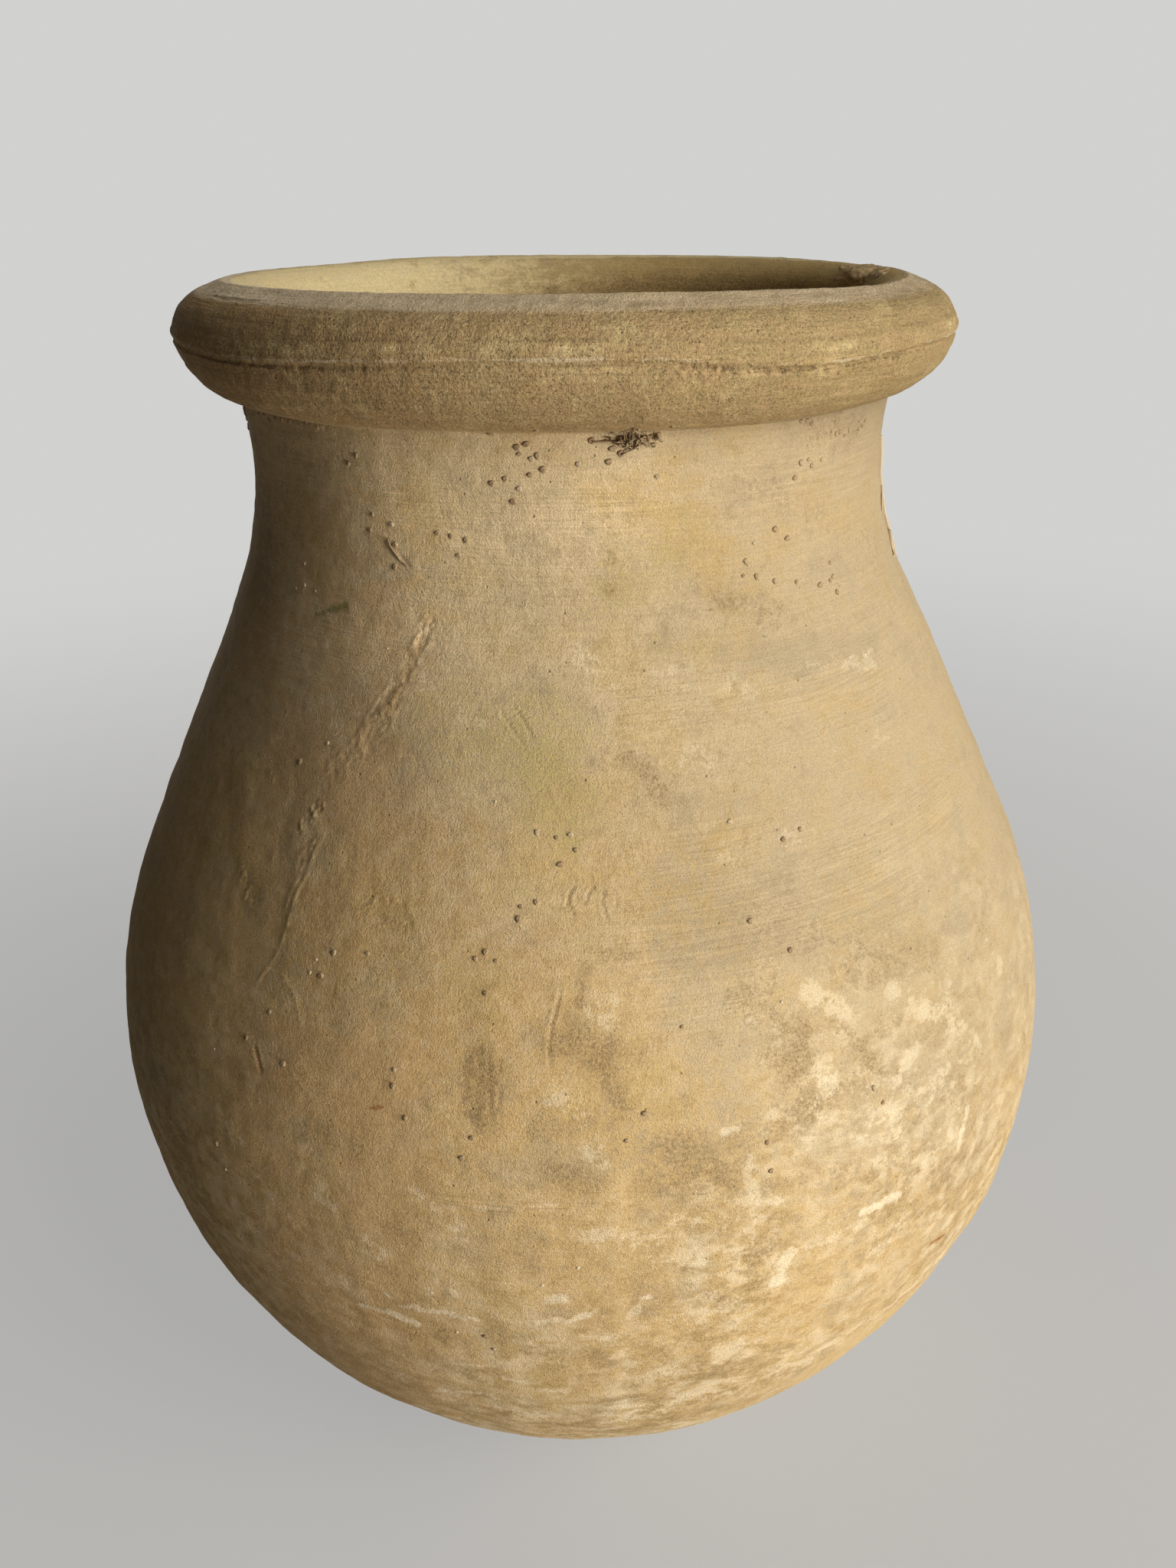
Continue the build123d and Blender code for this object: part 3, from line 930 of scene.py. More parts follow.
def colour_areas(points):
    """The named shares that the clay's material mixes by, one number for each point."""
    at = Regions(points)
    stains = painted(points, BROWN_CLOUDS, CLOUD_SOFTNESS, 68)
    grey = painted(points, GREY_CLOUDS, CLOUD_SOFTNESS, 71)
    hidden = 0.35 * at.clouded * (0.4 + 0.6 * at.unseen)
    olive = painted(points, OLIVE_CLOUDS, CLOUD_SOFTNESS, 73)
    rim_olive = at.rim * (0.55 - 0.38 * at.left + 0.25 * across(points, 20, 120))
    ochre = painted(points, OCHRE_CLOUDS, CLOUD_SOFTNESS, 72)
    band = 0.3 * on_line(points, RIDGE_HEIGHT + 2.2, 1.8) * at.patchy
    brush = painted(points, BRUSHED_CLOUDS, CLOUD_SOFTNESS, 80)
    loose_brush = np.maximum(0.5 * at.unseen * at.clouded,
                             0.25 * up(points, 350, 390) * (1 - at.rim))
    warm = smooth_step(400, 250, points[..., 2] + 40 * noise(points, 60.0, 79))
    return {
        "pale": pale_area(points, at),
        "chalked": painted(points, PALE_STROKES, STROKE_SOFTNESS, 65, STROKE_WIDENING),
        # Inside, painted light on the lit left of the inner wall; outside, a yellow band above
        # the ridge and painted light on the back of the rim's flat top
        "gold_and_painted_light": np.where(at.inside, at.lit_left, np.maximum(band, 0.8 * at.flat * at.behind)),
        "ruddy": ruddy_area(points, at, stains),
        # Painted shade and painted light in broad windows
        "painted_shade_and_light": painted_shade_and_light(points) * at.outside,
        # Painted light on the front of the rim's flat top, strongest on the left
        "flat": at.flat * (0.4 + 0.6 * at.left) * (1 - at.behind) * at.outside,
        "brown": brown_area(points, at, stains),
        "grey": greatest(grey, hidden, 0.15 * at.flat, 0.55 * at.weathered) * at.outside,
        "olive": np.maximum(olive, rim_olive * (1 - at.flat)) * at.outside,
        # Inside, painted shade: the unlit inner wall darker and more saturated
        "ochre": np.where(at.inside, 1.4 * (1 - at.lit_left),
                          np.maximum(ochre, 0.6 * at.rim * at.left)),
        "brush": brush + loose_brush,
        "mottle": mottle_area(points, at),
        "warm": warm * (1 - at.chalky) * (1 - 0.8 * at.weathered),
        "rough": np.clip(at.rim, 0, 1),
        "smear": painted(points, SMEAR_STROKES, STROKE_SOFTNESS, 74),
        "rust": painted(points, RUST_STROKES, STROKE_SOFTNESS, 75),
        # Darker lines, grooves and furrows, and painted shade in the crease under the rim
        "dirt_and_painted_shade": dirt_and_painted_shade(points),
    }


# Painted shade and light on the body: each entry a strength, positive for painted shade and
# negative for painted light, and the windows that bound it. A window runs from 0 to 1 between
# two
# places in millimetres: "x" is across, "z" up, and "slant" a height that rises to the right
SLANT = 0.3
COLLAR = (("z", 375, 405), ("z", CREASE[1], CREASE[1] - 12))
PAINTED_SHADE_WINDOWS = [
    (1.0, ("x", -35, 65), ("slant", 303, 335)),
    (0.3, ("x", -35, 65), ("z", 375, 405)),
    (0.9, ("x", 70, 140), ("z", 110, 160), ("slant", 335, 303)),
    (-0.5, ("x", 20, -40), ("x", -155, -110), ("z", 300, 250)),
    (0.9, ("x", -20, -95), ("z", 190, 130)),
    (-0.7, ("z", 415, 435), ("x", -95, -60), ("x", 45, 5)),
    (1.1, ("x", 60, 115), ("z", CREASE[1] - 40, CREASE[1])),
    (1.9, ("x", -135, -190), ("z", 150, 220)),
    (-1.6, *COLLAR, ("x", -118, -92), ("x", -15, -60)),
    (1.4, *COLLAR, ("x", -104, -120)),
]


def painted_shade_and_light(points):
    """Painted shade, from 0 to 1, and painted light where it is negative; on the rim, painted
    shade that grows to the right.
    """
    x, height = points[..., 0], points[..., 2]
    places = {"x": x, "z": height, "slant": height + SLANT * np.maximum(x, 0)}
    tone = np.zeros_like(x)
    for strength, *windows in PAINTED_SHADE_WINDOWS:
        share = strength
        for place, start, full in windows:
            share = share * smooth_step(start, full, places[place])
        tone += share
    # Painted shade on the rim, stronger towards the right
    rim = up(points, CREASE[1] - 1, CREASE[1] + 3)
    return tone * (1 - rim) + rim * (0.4 + 0.6 * across(points, 0, 110))


def between_ribs(points):
    """The dirty furrows of the patch that something dragged over."""
    stops = stops_at(RIBBED)
    chosen = near(points, stops, 2 * RIBBED_REACH) & faces_out
    spots = points[chosen]
    gap, _ = path_distance(spots, stops)
    furrows = smooth_step(0.35, -0.45, layered(spots, RIB_NOISES[:1]))
    gap = gap + 1.5 * noise(spots, 3.0, 86)
    cover = np.zeros(points.shape[:-1])
    cover[chosen] = 0.4 * furrows * smooth_step(RIBBED_REACH, 0.75 * RIBBED_REACH, gap)
    return cover


def dirt_and_painted_shade(points):
    """Where the clay is darker: along the groove under the ridge and the faint line above it, in
    the slurry, the furrows and the scratches; and painted shade in the crease under the rim.
    """
    radius = np.hypot(points[..., 0], points[..., 1])
    patchy = smooth_step(-0.5, 0.4, noise(points, (14.0, 14.0, 2.0), 81))
    fainter = 1 - 0.55 * across(points, 0, -90)
    cover = 0.75 * patchy * fainter * on_line(points, GROOVE_HEIGHT, LINE_HALF)
    cover += 0.5 * second_line(points)
    cover += 0.5 * slurry(points) * smooth_step(0.0, 0.5, noise(points, 1.4, 84))
    # Painted shade in the crease under the rim
    under = smooth_step(0.2, -0.2, radius - RIM_SIDE) * faces_out
    cover += 0.3 * under * patchy * np.exp(-(((points[..., 2] - CREASE[1]) / 1.6) ** 2))
    cover += between_ribs(points)
    for pixels, width, depth, _ in GROOVES:
        stops = stops_at(pixels)
        chosen = near(points, stops, 3 * width)
        gap, _ = path_distance(points[chosen], stops)
        cover[chosen] += 0.9 * depth * np.exp(-((gap / (0.7 * width)) ** 2))
    return np.clip(cover, 0, 1)


areas = colour_areas(body)


class Nodes:
    """Short names for the nodes that the materials and the sky are made of."""

    def __init__(self, owner):
        owner.use_nodes = True
        self.tree = owner.node_tree
        coordinates = self.node("TexCoord").outputs["Object"]
        scaled = self.node("VectorMath", {0: coordinates, "Scale": 1 / MM}, operation="SCALE")
        self.place = scaled.outputs["Vector"]

    def node(self, kind, inputs=None, **settings):
        """A new node with its settings, and with numbers or links on its inputs."""
        node = self.tree.nodes.new("ShaderNode" + kind)
        for name, value in settings.items():
            setattr(node, name, value)
        for socket, value in (inputs or {}).items():
            self.link(value, node.inputs[socket])
        return node

    def link(self, value, socket):
        """Gives a socket a link or a fixed value."""
        if isinstance(value, bpy.types.NodeSocket):
            self.tree.links.new(value, socket)
        else:
            socket.default_value = value

    def math(self, operation, *values):
        """A sum on numbers and links."""
        return self.node("Math", dict(enumerate(values)), operation=operation).outputs[0]

    def product(self, *values):
        """Numbers and links multiplied together."""
        total = values[0]
        for value in values[1:]:
            total = self.math("MULTIPLY", total, value)
        return total

    def centred(self, value, height):
        """A noise made to swing about 0 by a height."""
        return self.math("MULTIPLY", self.math("SUBTRACT", value, 0.5), height)

    def noise(self, size, detail=2.0, roughness=0.5, stretch=(1, 1, 1)):
        """Noise with features of a size in millimetres, longer where stretch is small."""
        place = self.node("VectorMath", {0: self.place, 1: stretch}, operation="MULTIPLY")
        inputs = {"Vector": place.outputs["Vector"], "Scale": 1 / size, "Detail": detail,
                  "Roughness": roughness}
        return self.node("TexNoise", inputs).outputs["Fac"]

    def spots(self, size, low, high):
        """Round spots, one to a cell of a size: 1 within low and 0 beyond high, as shares
        of the size. Also each cell's own random colour."""
        cells = self.node("TexVoronoi", {"Vector": self.place, "Scale": 1 / size}).outputs
        return self.step(cells["Distance"], high, low), cells["Color"]

    def step(self, value, low, high, to_low=0.0, to_high=1.0):
        """A value made to go smoothly from one number to another, between two limits."""
        inputs = {"Value": value, "From Min": low, "From Max": high, "To Min": to_low,
                  "To Max": to_high}
        node = self.node("MapRange", inputs, interpolation_type="SMOOTHSTEP")
        return node.outputs["Result"]

    def mix(self, share, first, second, kind="MIX"):
        """Two colours mixed, with a share of the second."""
        node = self.node("Mix", data_type="RGBA", blend_type=kind)
        for value, socket in ((share, 0), (first, 6), (second, 7)):
            self.link(value, node.inputs[socket])
        return node.outputs[2]

    def area(self, name):
        """One of the shares that the mesh carries at its points."""
        return self.node("Attribute", attribute_name=name).outputs["Fac"]

    def bump(self, height, distance, strength, below=None):
        """Relief of a distance in millimetres."""
        inputs = {"Strength": strength, "Distance": distance * MM, "Height": height}
        if below is not None:
            inputs["Normal"] = below
        return self.node("Bump", inputs).outputs["Normal"]

    def seen(self):
        """1 on rays of the camera, of mirrors and of glass, and 0 on rays that light things."""
        rays = self.node("LightPath").outputs
        share = rays["Is Camera Ray"]
        for kind in ("Is Glossy Ray", "Is Transmission Ray"):
            share = self.math("MAXIMUM", share, rays[kind])
        return share


# The clay's colours, from its own buff to what has stained it, some also used for painted light
# and shade
CLAY = (0.57, 0.425, 0.235, 1)
CLAY_WARM = (0.58, 0.39, 0.168, 1)
CLAY_LIGHT = (0.655, 0.488, 0.28, 1)
# Also the painted shade of the unlit inner wall
CLAY_OCHRE_AND_SHADE = (0.54, 0.37, 0.14, 1)
# Also a painted highlight on the ridge and painted light inside the mouth
CLAY_PALE_AND_LIGHT = (0.8, 0.655, 0.43, 1)
# Also the painted shade inside the mouth
CLAY_BROWN_AND_SHADE = (0.31, 0.205, 0.088, 1)
CLAY_GREY = (0.4, 0.312, 0.185, 1)
CLAY_OLIVE = (0.42, 0.325, 0.11, 1)
LEAF_GREEN = (0.10, 0.13, 0.03, 1)
RUST = (0.30, 0.11, 0.03, 1)
# Dark dirt, and also painted shade in the crease under the rim
DIRT_AND_SHADE = (0.13, 0.085, 0.042, 1)
RIM_TAN = (0.43, 0.284, 0.135, 1)
# Painted light on the rim's flat top
RIM_TOP_PAINTED_LIGHT = (0.84, 0.67, 0.45, 1)
# Mostly painted light, inside the mouth and on the back of the flat top; also a yellow band
# above the ridge
CLAY_GOLD_AND_LIGHT = (0.93, 0.74, 0.38, 1)
# Reddish clay, and also painted warm reflected light on the shaded left
CLAY_RUDDY_AND_REFLECTION = (0.5, 0.305, 0.13, 1)
RIM_YELLOW = (0.66, 0.5, 0.24, 1)


def noises(n):
    """The noises that the clay's colours and its relief share, by name."""
    found = {
        "wide": n.noise(85.0, 2.0, 0.5), "cloud": n.noise(26.0, 6.0, 0.62),
        "blotch": n.noise(17.0, 5.0, 0.6), "ragged": n.noise(4.5, 7.0, 0.7),
        "fine": n.noise(1.5, 4.0, 0.65), "speck": n.noise(0.8, 2.0, 0.6),
        "grain": n.noise(0.5, 2.0, 0.6),
        "mottled": n.noise(5.5, 6.0, 0.6, stretch=(0.6, 0.6, 1.0)),
        "gritty": n.step(n.noise(1.1, 3.0, 0.7), 0.42, 0.58, 0.4, 1.0),
    }
    brushed = n.noise(0.8, 2.0, 0.65, stretch=(0.035, 0.035, 1.0))
    found["lines"] = n.step(brushed, 0.3, 0.7, -1.0, 1.0)
    return found


def plain_clay(n, of):
    """The clay's own buff, warmer low on the jar, with faint clouds and ragged specks."""
    warmth = n.math("ADD", n.area("warm"), n.math("SUBTRACT", of["wide"], 0.5))
    colour = n.mix(n.step(warmth, 0.0, 1.0), CLAY, CLAY_WARM)
    for name, low, high, most, tone in (
        ("cloud", 0.5, 0.62, 0.4, CLAY_OCHRE_AND_SHADE), ("cloud", 0.48, 0.36, 0.45, CLAY_GREY),
        ("ragged", 0.46, 0.62, 0.45, CLAY_LIGHT), ("ragged", 0.5, 0.34, 0.28, CLAY_BROWN_AND_SHADE),
    ):
        colour = n.mix(n.step(of[name], low, high, 0.0, most), colour, tone)
    return colour


def mottled_clay(n, of, colour):
    """Loose bloom, stains and tide lines low on the belly. Also the stains' share."""
    mottle = n.area("mottle")
    loose = n.product(n.step(of["mottled"], 0.42, 0.6), n.step(of["blotch"], 0.36, 0.58), mottle)
    colour = n.mix(n.product(loose, 0.62), colour, CLAY_PALE_AND_LIGHT)
    stained = n.product(n.step(of["mottled"], 0.58, 0.38), n.step(of["blotch"], 0.6, 0.42),
                        mottle, of["gritty"], 0.85)
    colour = n.mix(stained, colour, CLAY_BROWN_AND_SHADE)
    tide = n.math("ABSOLUTE", n.math("SUBTRACT", n.noise(9.0, 6.0, 0.62), 0.5))
    tide = n.product(n.step(tide, 0.05, 0.0), n.step(of["cloud"], 0.45, 0.55), of["gritty"],
                     mottle, 0.7)
    return n.mix(tide, colour, CLAY_BROWN_AND_SHADE), stained


def clouded_clay(n, of, colour):
    """The painted clouds and the chalk strokes, with ragged or soft edges."""
    calm = n.math("MULTIPLY_ADD", n.area("rough"), -0.7, 1.0)
    torn = n.math("ADD", n.centred(of["ragged"], 3.2), n.centred(of["fine"], 2.4))
    torn = n.product(torn, calm)
    soft = n.math("ADD", n.centred(of["mottled"], 2.6), n.centred(of["fine"], 0.6))
    mixed = n.math("MULTIPLY_ADD", torn, 0.4, soft)
    for name, tone, edge, most, low, high in (
        # Gold is mostly painted light; ruddy is also painted warm reflection; ochre, brown and
        # pale also carry painted shade and light
        ("ochre", CLAY_OCHRE_AND_SHADE, soft, 0.7, 0.1, 0.8), ("grey", CLAY_GREY, torn, 0.7, 0.1, 0.8),
        ("olive", CLAY_OLIVE, torn, 0.7, 0.1, 0.8),
        ("brown", CLAY_BROWN_AND_SHADE, torn, of["gritty"], 0.1, 0.8),
        ("ruddy", CLAY_RUDDY_AND_REFLECTION, soft, 0.6, 0.1, 0.8), ("gold_and_painted_light", CLAY_GOLD_AND_LIGHT, soft, 0.9, 0.1, 0.8),
        ("pale", CLAY_PALE_AND_LIGHT, mixed, 0.56, 0.22, 0.66),
    ):
        area = n.area(name)
        share = n.step(n.math("ADD", area, edge), low, high)
        strength = n.math("MULTIPLY_ADD", area, 0.6, 0.4)
        share = n.product(share, n.step(area, 0.0, 0.25), strength, most)
        colour = n.mix(share, colour, tone)
    chalked = n.area("chalked")
    share = n.step(n.math("MULTIPLY_ADD", mixed, 0.5, chalked), 0.15, 0.95)
    return n.mix(n.product(share, n.step(chalked, 0.0, 0.3), 0.75), colour, CLAY_PALE_AND_LIGHT)


def rim_clay(n, of, colour):
    """The rim's own tan and yellow, painted light on its flat top, and its dark dots."""
    rough = n.area("rough")
    tan = n.step(n.noise(4.0, 8.0, 0.75, stretch=(0.6, 0.6, 1.0)), 0.46, 0.58)
    yellow = n.step(n.noise(9.0, 8.0, 0.75, stretch=(0.5, 0.5, 1.0)), 0.52, 0.62)
    colour = n.mix(n.product(tan, rough, 0.65), colour, RIM_TAN)
    colour = n.mix(n.product(yellow, rough, 0.35), colour, RIM_YELLOW)
    # Painted light on the rim's flat top
    flat = n.product(n.area("flat"), n.step(of["ragged"], 0.3, 0.6, 0.55, 0.85))
    colour = n.mix(flat, colour, RIM_TOP_PAINTED_LIGHT)
    dotted = n.product(n.step(of["speck"], 0.6, 0.69), rough, n.area("brown"), 0.7)
    return n.mix(dotted, colour, DIRT_AND_SHADE)


def dirty_clay(n, of, colour, stained, pits):
    """The green smear, rust, the dark in grooves and pits with painted shade in the crease under
    the rim, and dark specks in the stains.
    """
    # The dark area: dark lines and grooves, and painted shade in the crease under the rim
    dirt_and_painted_shade = n.product(n.area("dirt_and_painted_shade"), n.step(of["speck"], 0.4, 0.58, 0.3, 1.0))
    speckled = n.math("MULTIPLY_ADD", n.math("ADD", n.area("brown"), stained), 0.6, 0.1)
    specks = n.product(n.step(of["speck"], 0.55, 0.72), speckled)
    for share, tone in (
        (n.product(n.area("smear"), 0.8), LEAF_GREEN), (n.area("rust"), RUST), (dirt_and_painted_shade, DIRT_AND_SHADE),
        (n.product(pits, 0.4), DIRT_AND_SHADE), (specks, DIRT_AND_SHADE),
    ):
        colour = n.mix(share, colour, tone)
    return colour


def shaded_clay(n, of, colour, ruled):
    """The colour made lighter and darker by brush lines, painted shade and light, and grain."""
    depth = n.math("MULTIPLY_ADD", ruled, 0.08, 0.02)
    for shade in (
        n.math("MULTIPLY_ADD", of["lines"], depth, 1.0),
        # Painted shade and painted light
        n.math("MULTIPLY_ADD", n.area("painted_shade_and_light"), -0.16, 1.0),
        n.step(of["fine"], 0.3, 0.7, 0.93, 1.06),
        n.step(of["grain"], 0.25, 0.75, 0.84, 1.14),
    ):
        colour = n.mix(1.0, colour, shade, "MULTIPLY")
    return colour


def clay_relief(n, of, ruled, pits):
    """Grain, brush lines, pits and the rim's coarse skin, all under a millimetre."""
    lined = n.product(of["lines"], n.math("ADD", ruled, 0.25))
    coarse = n.product(n.noise(1.1, 3.0, 0.65), n.area("rough"))
    relief = None
    for height, distance, strength in (
        (of["grain"], 0.36, 0.8), (of["fine"], 0.45, 0.7), (lined, 0.06, 0.8),
        (n.product(pits, -1.0), 0.35, 0.8), (coarse, 0.6, 0.8),
    ):
        relief = n.bump(height, distance, strength, relief)
    return relief


def clay_material():
    """Unglazed buff clay: clouds, bloom, stains, brush lines, grit and fine grain."""
    material = bpy.data.materials.new("clay")
    n = Nodes(material)
    of = noises(n)
    pits, pit_tone = n.spots(5.5, 0.04, 0.1)
    pits = n.product(pits, n.step(pit_tone, 0.6, 0.65))
    ruled = n.math("MULTIPLY_ADD", n.area("rough"), 0.6, n.area("brush"))
    colour, stained = mottled_clay(n, of, plain_clay(n, of))
    colour = rim_clay(n, of, clouded_clay(n, of, colour))
    colour = dirty_clay(n, of, colour, stained, pits)
    shader = n.tree.nodes["Principled BSDF"]
    n.link(shaded_clay(n, of, colour, ruled), shader.inputs["Base Color"])
    n.link(n.step(of["fine"], 0.3, 0.7, 0.84, 0.97), shader.inputs["Roughness"])
    shader.inputs["Specular IOR Level"].default_value = 0.15
    n.link(clay_relief(n, of, ruled, pits), shader.inputs["Normal"])
    return material


# The dry plant's colours
PLANT = (0.23, 0.145, 0.075, 1)
PLANT_LIGHT = (0.42, 0.31, 0.17, 1)
PLANT_DUSTED = (0.62, 0.52, 0.36, 1)


def plant_material():
    """Dry stems and pads of the climbing plant, dull brown with pale dust."""
    material = bpy.data.materials.new("dried_plant")
    n = Nodes(material)
    shader = n.tree.nodes["Principled BSDF"]
    fibre = n.noise(0.6, 3.0, 0.6)
    patch = n.noise(9.0, 2.0, 0.5)
    colour = n.mix(n.step(fibre, 0.35, 0.68), PLANT, PLANT_LIGHT)
    colour = n.mix(n.step(patch, 0.5, 0.62, 0.0, 0.6), colour, PLANT_LIGHT)
    colour = n.mix(n.area("dusted"), colour, PLANT_DUSTED)
    n.link(colour, shader.inputs["Base Color"])
    n.link(n.step(fibre, 0.3, 0.7, 0.8, 0.95), shader.inputs["Roughness"])
    shader.inputs["Specular IOR Level"].default_value = 0.1
    n.link(n.bump(fibre, 0.2, 0.7), shader.inputs["Normal"])
    return material


def add_mesh(name, points, faces, material, normals=None):
    """A smooth mesh in metres from points in millimetres. Faces are lists of points."""
    mesh = bpy.data.meshes.new(name)
    sizes = np.array([len(face) for face in faces])
    mesh.vertices.add(len(points))
    mesh.vertices.foreach_set("co", (points * MM).astype(np.float32).ravel())
    mesh.loops.add(int(sizes.sum()))
    mesh.loops.foreach_set("vertex_index", np.concatenate(faces).astype(np.int32))
    mesh.polygons.add(len(faces))
    mesh.polygons.foreach_set("loop_start", np.r_[0, np.cumsum(sizes)[:-1]].astype(np.int32))
    mesh.polygons.foreach_set("use_smooth", np.ones(len(faces), bool))
    mesh.update(calc_edges=True)
    if normals is not None:
        mesh.normals_split_custom_set_from_vertices(normals.tolist())
    mesh.materials.append(material)
    piece = bpy.data.objects.new(name, mesh)
    bpy.context.scene.collection.objects.link(piece)
    return piece


def set_area(piece, name, values):
    """Stores a share for each point of a piece, for its material to read."""
    attribute = piece.data.attributes.new(name, "FLOAT", "POINT")
    attribute.data.foreach_set("value", np.asarray(values, np.float32).ravel())


def joint_rings(lute):
    """The rings of points inside a joint, without its outer and inner edge."""
    rings = turned(lute[1:-1], TURNS)
    rings[..., 0] += LEAN_TOP * up(rings, LEAN_START, LEAN_END)
    return rings


def piece_rings(name):
    """One piece's rings in order: outside, upper joint, inside, lower joint. Also their
    normals, and each ring's row of the skin, or -1 inside a joint."""
    order = PIECES.index(name)
    points, normals, rows = [], [], []

    def add_skin(first, last):
        points.append(skin_points[first:last + 1])
        normals.append(skin_normals[first:last + 1])
        rows.extend(range(first, last + 1))

    def add_joint(rings, side):
        points.append(rings)
        normals.append(np.zeros_like(rings) + (0, 0, side))
        rows.extend([-1] * len(rings))

    add_skin(*piece_rows[name][0])
    if name != "rim":
        add_joint(joint_rings(LUTES[name]), 1)
        add_skin(*piece_rows[name][1])
    if name != "base":
        add_joint(joint_rings(LUTES[PIECES[order - 1]])[::-1], -1)
    return np.concatenate(points), np.concatenate(normals), np.array(rows)


def add_piece(name, material):
    """One ring of the jar as a closed mesh that stands for its node."""
    points, normals, rows = piece_rings(name)
    index = np.arange(len(points) * COLUMNS).reshape(len(points), COLUMNS)
    if name == "base":
        faces = list(grid_faces(index).reshape(-1, 4)) + [index[0][::-1], index[-1]]
    else:
        faces = list(grid_faces(np.vstack([index, index[:1]])).reshape(-1, 4))
    piece = add_mesh(name + "_clay", points.reshape(-1, 3), faces, material,
                     normals.reshape(-1, 3))
    for area, values in areas.items():
        set_area(piece, area, np.where(rows[:, None] >= 0, values[rows], 0))
    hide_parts(name)
    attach(piece, "root")


clay = clay_material()
plant = plant_material()
for piece_name in PIECES:
    add_piece(piece_name, clay)


# The scar on the right of the inner lip: lumps with holes between them, as pixels, radius
# and rise in millimetres
SCAR_ROWS = (-4, 12)
SCAR_TURNS = (-8.0, 26.0)
SCAR_STEP = 0.35
SCAR_SUNK = 0.8
SCAR_LEVEL = 0.42
SCAR_NOISES = [(0.35, 3.6, 44), (0.245, 1.8, 45)]
SCAR_EDGE_NOISES = [(0.25, 4.0, 43)]
SCAR_LUMPS = [(1120, 361, 4.6, 2.8), (1112, 366, 3.0, 1.0), (1130, 366, 2.6, 1.4),
              (1151, 361, 2.2, 0.8), (1155, 366, 1.8, 0.6), (1141, 360, 1.6, 0.7)]
SCAR_HOLES = [(1130, 353, 2.4, 3.2), (1138, 357, 1.7, 2.4), (1143, 368, 2.2, 3.6),
              (1147, 351, 1.8, 2.2), (1151, 364, 1.5, 1.8), (1136, 371, 1.5, 2.4)]


def lip_patch():
    """The lip round the scar as a grid of points, and their outward directions."""
    crest_row = int(np.argmax(path[:, 1]))
    lip = path[crest_row + SCAR_ROWS[0]:crest_row + SCAR_ROWS[1]]
    along = lengths_along(lip)
    marks = np.arange(0, along[-1], SCAR_STEP)
    run = np.stack([np.interp(marks, along, lip[:, i]) for i in (0, 1)], 1)
    turns = np.radians(np.arange(*SCAR_TURNS, math.degrees(SCAR_STEP / MOUTH_RADIUS)))
    ground = turned(run, turns)
    ground[..., 0] += LEAN_TOP
    nearest = [marked_surface.tree.find_nearest(p)[0][:] for p in ground.reshape(-1, 3)]
    return np.array(nearest).reshape(ground.shape), turned(facing(run), turns)


def humps(points, spots):
    """Round humps on some pixels, each with its reach and rise."""
    total = np.zeros(points.shape[:-1])
    for x, y, reach, rise in spots:
        gap = np.linalg.norm(points - stops_at([(x, y)])[0], axis=-1)
        total += rise * np.exp(-((gap / reach) ** 2))
    return total


def sheet_faces(rows, columns):
    """The faces of a closed sheet: its top, its underside and the rim between them."""
    upper, lower = np.arange(2 * rows * columns).reshape(2, rows, columns)
    faces = list(grid_faces(upper)[:, :-1].reshape(-1, 4))
    faces += list(grid_faces(lower)[:, :-1, [0, 3, 2, 1]].reshape(-1, 4))
    border = np.concatenate([upper[0, :-1], upper[:-1, -1], upper[-1, :0:-1], upper[:0:-1, 0]])
    return faces + list(grid_faces(np.stack([border + rows * columns, border])).reshape(-1, 4))


def add_scar(material):
    """A gnarled patch of clay that grows out of the lip."""
    ground, out = lip_patch()
    rows, columns = ground.shape[:2]
    reach = np.hypot(np.linspace(-1, 1, rows)[:, None], np.linspace(-1, 1, columns)[None])
    edge = smooth_step(1.0, 0.5, reach + layered(ground, SCAR_EDGE_NOISES))
    lumps = SCAR_LEVEL + layered(ground, SCAR_NOISES) + humps(ground, SCAR_LUMPS)
    deep = humps(ground, SCAR_HOLES)
    rise = edge * np.clip(lumps - deep, 0.0, None) - SCAR_SUNK * (1 - edge)
    sheets = [ground + out * rise[..., None], ground - out * 3 * SCAR_SUNK]
    points = np.concatenate([sheet.reshape(-1, 3) for sheet in sheets])
    piece = add_mesh("lip_scar", points, sheet_faces(rows, columns), material)
    # Darker in the holes between the lumps
    dark = smooth_step(0.15, 0.9, deep) * edge
    tones = {"dirt_and_painted_shade": dark, "brown": 0.45 * (1 - dark), "ruddy": 0.5 + 0 * dark}
    for area in areas:
        set_area(piece, area, np.tile(tones.get(area, 0 * dark).ravel(), 2))
    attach(piece, "root")


add_scar(clay)

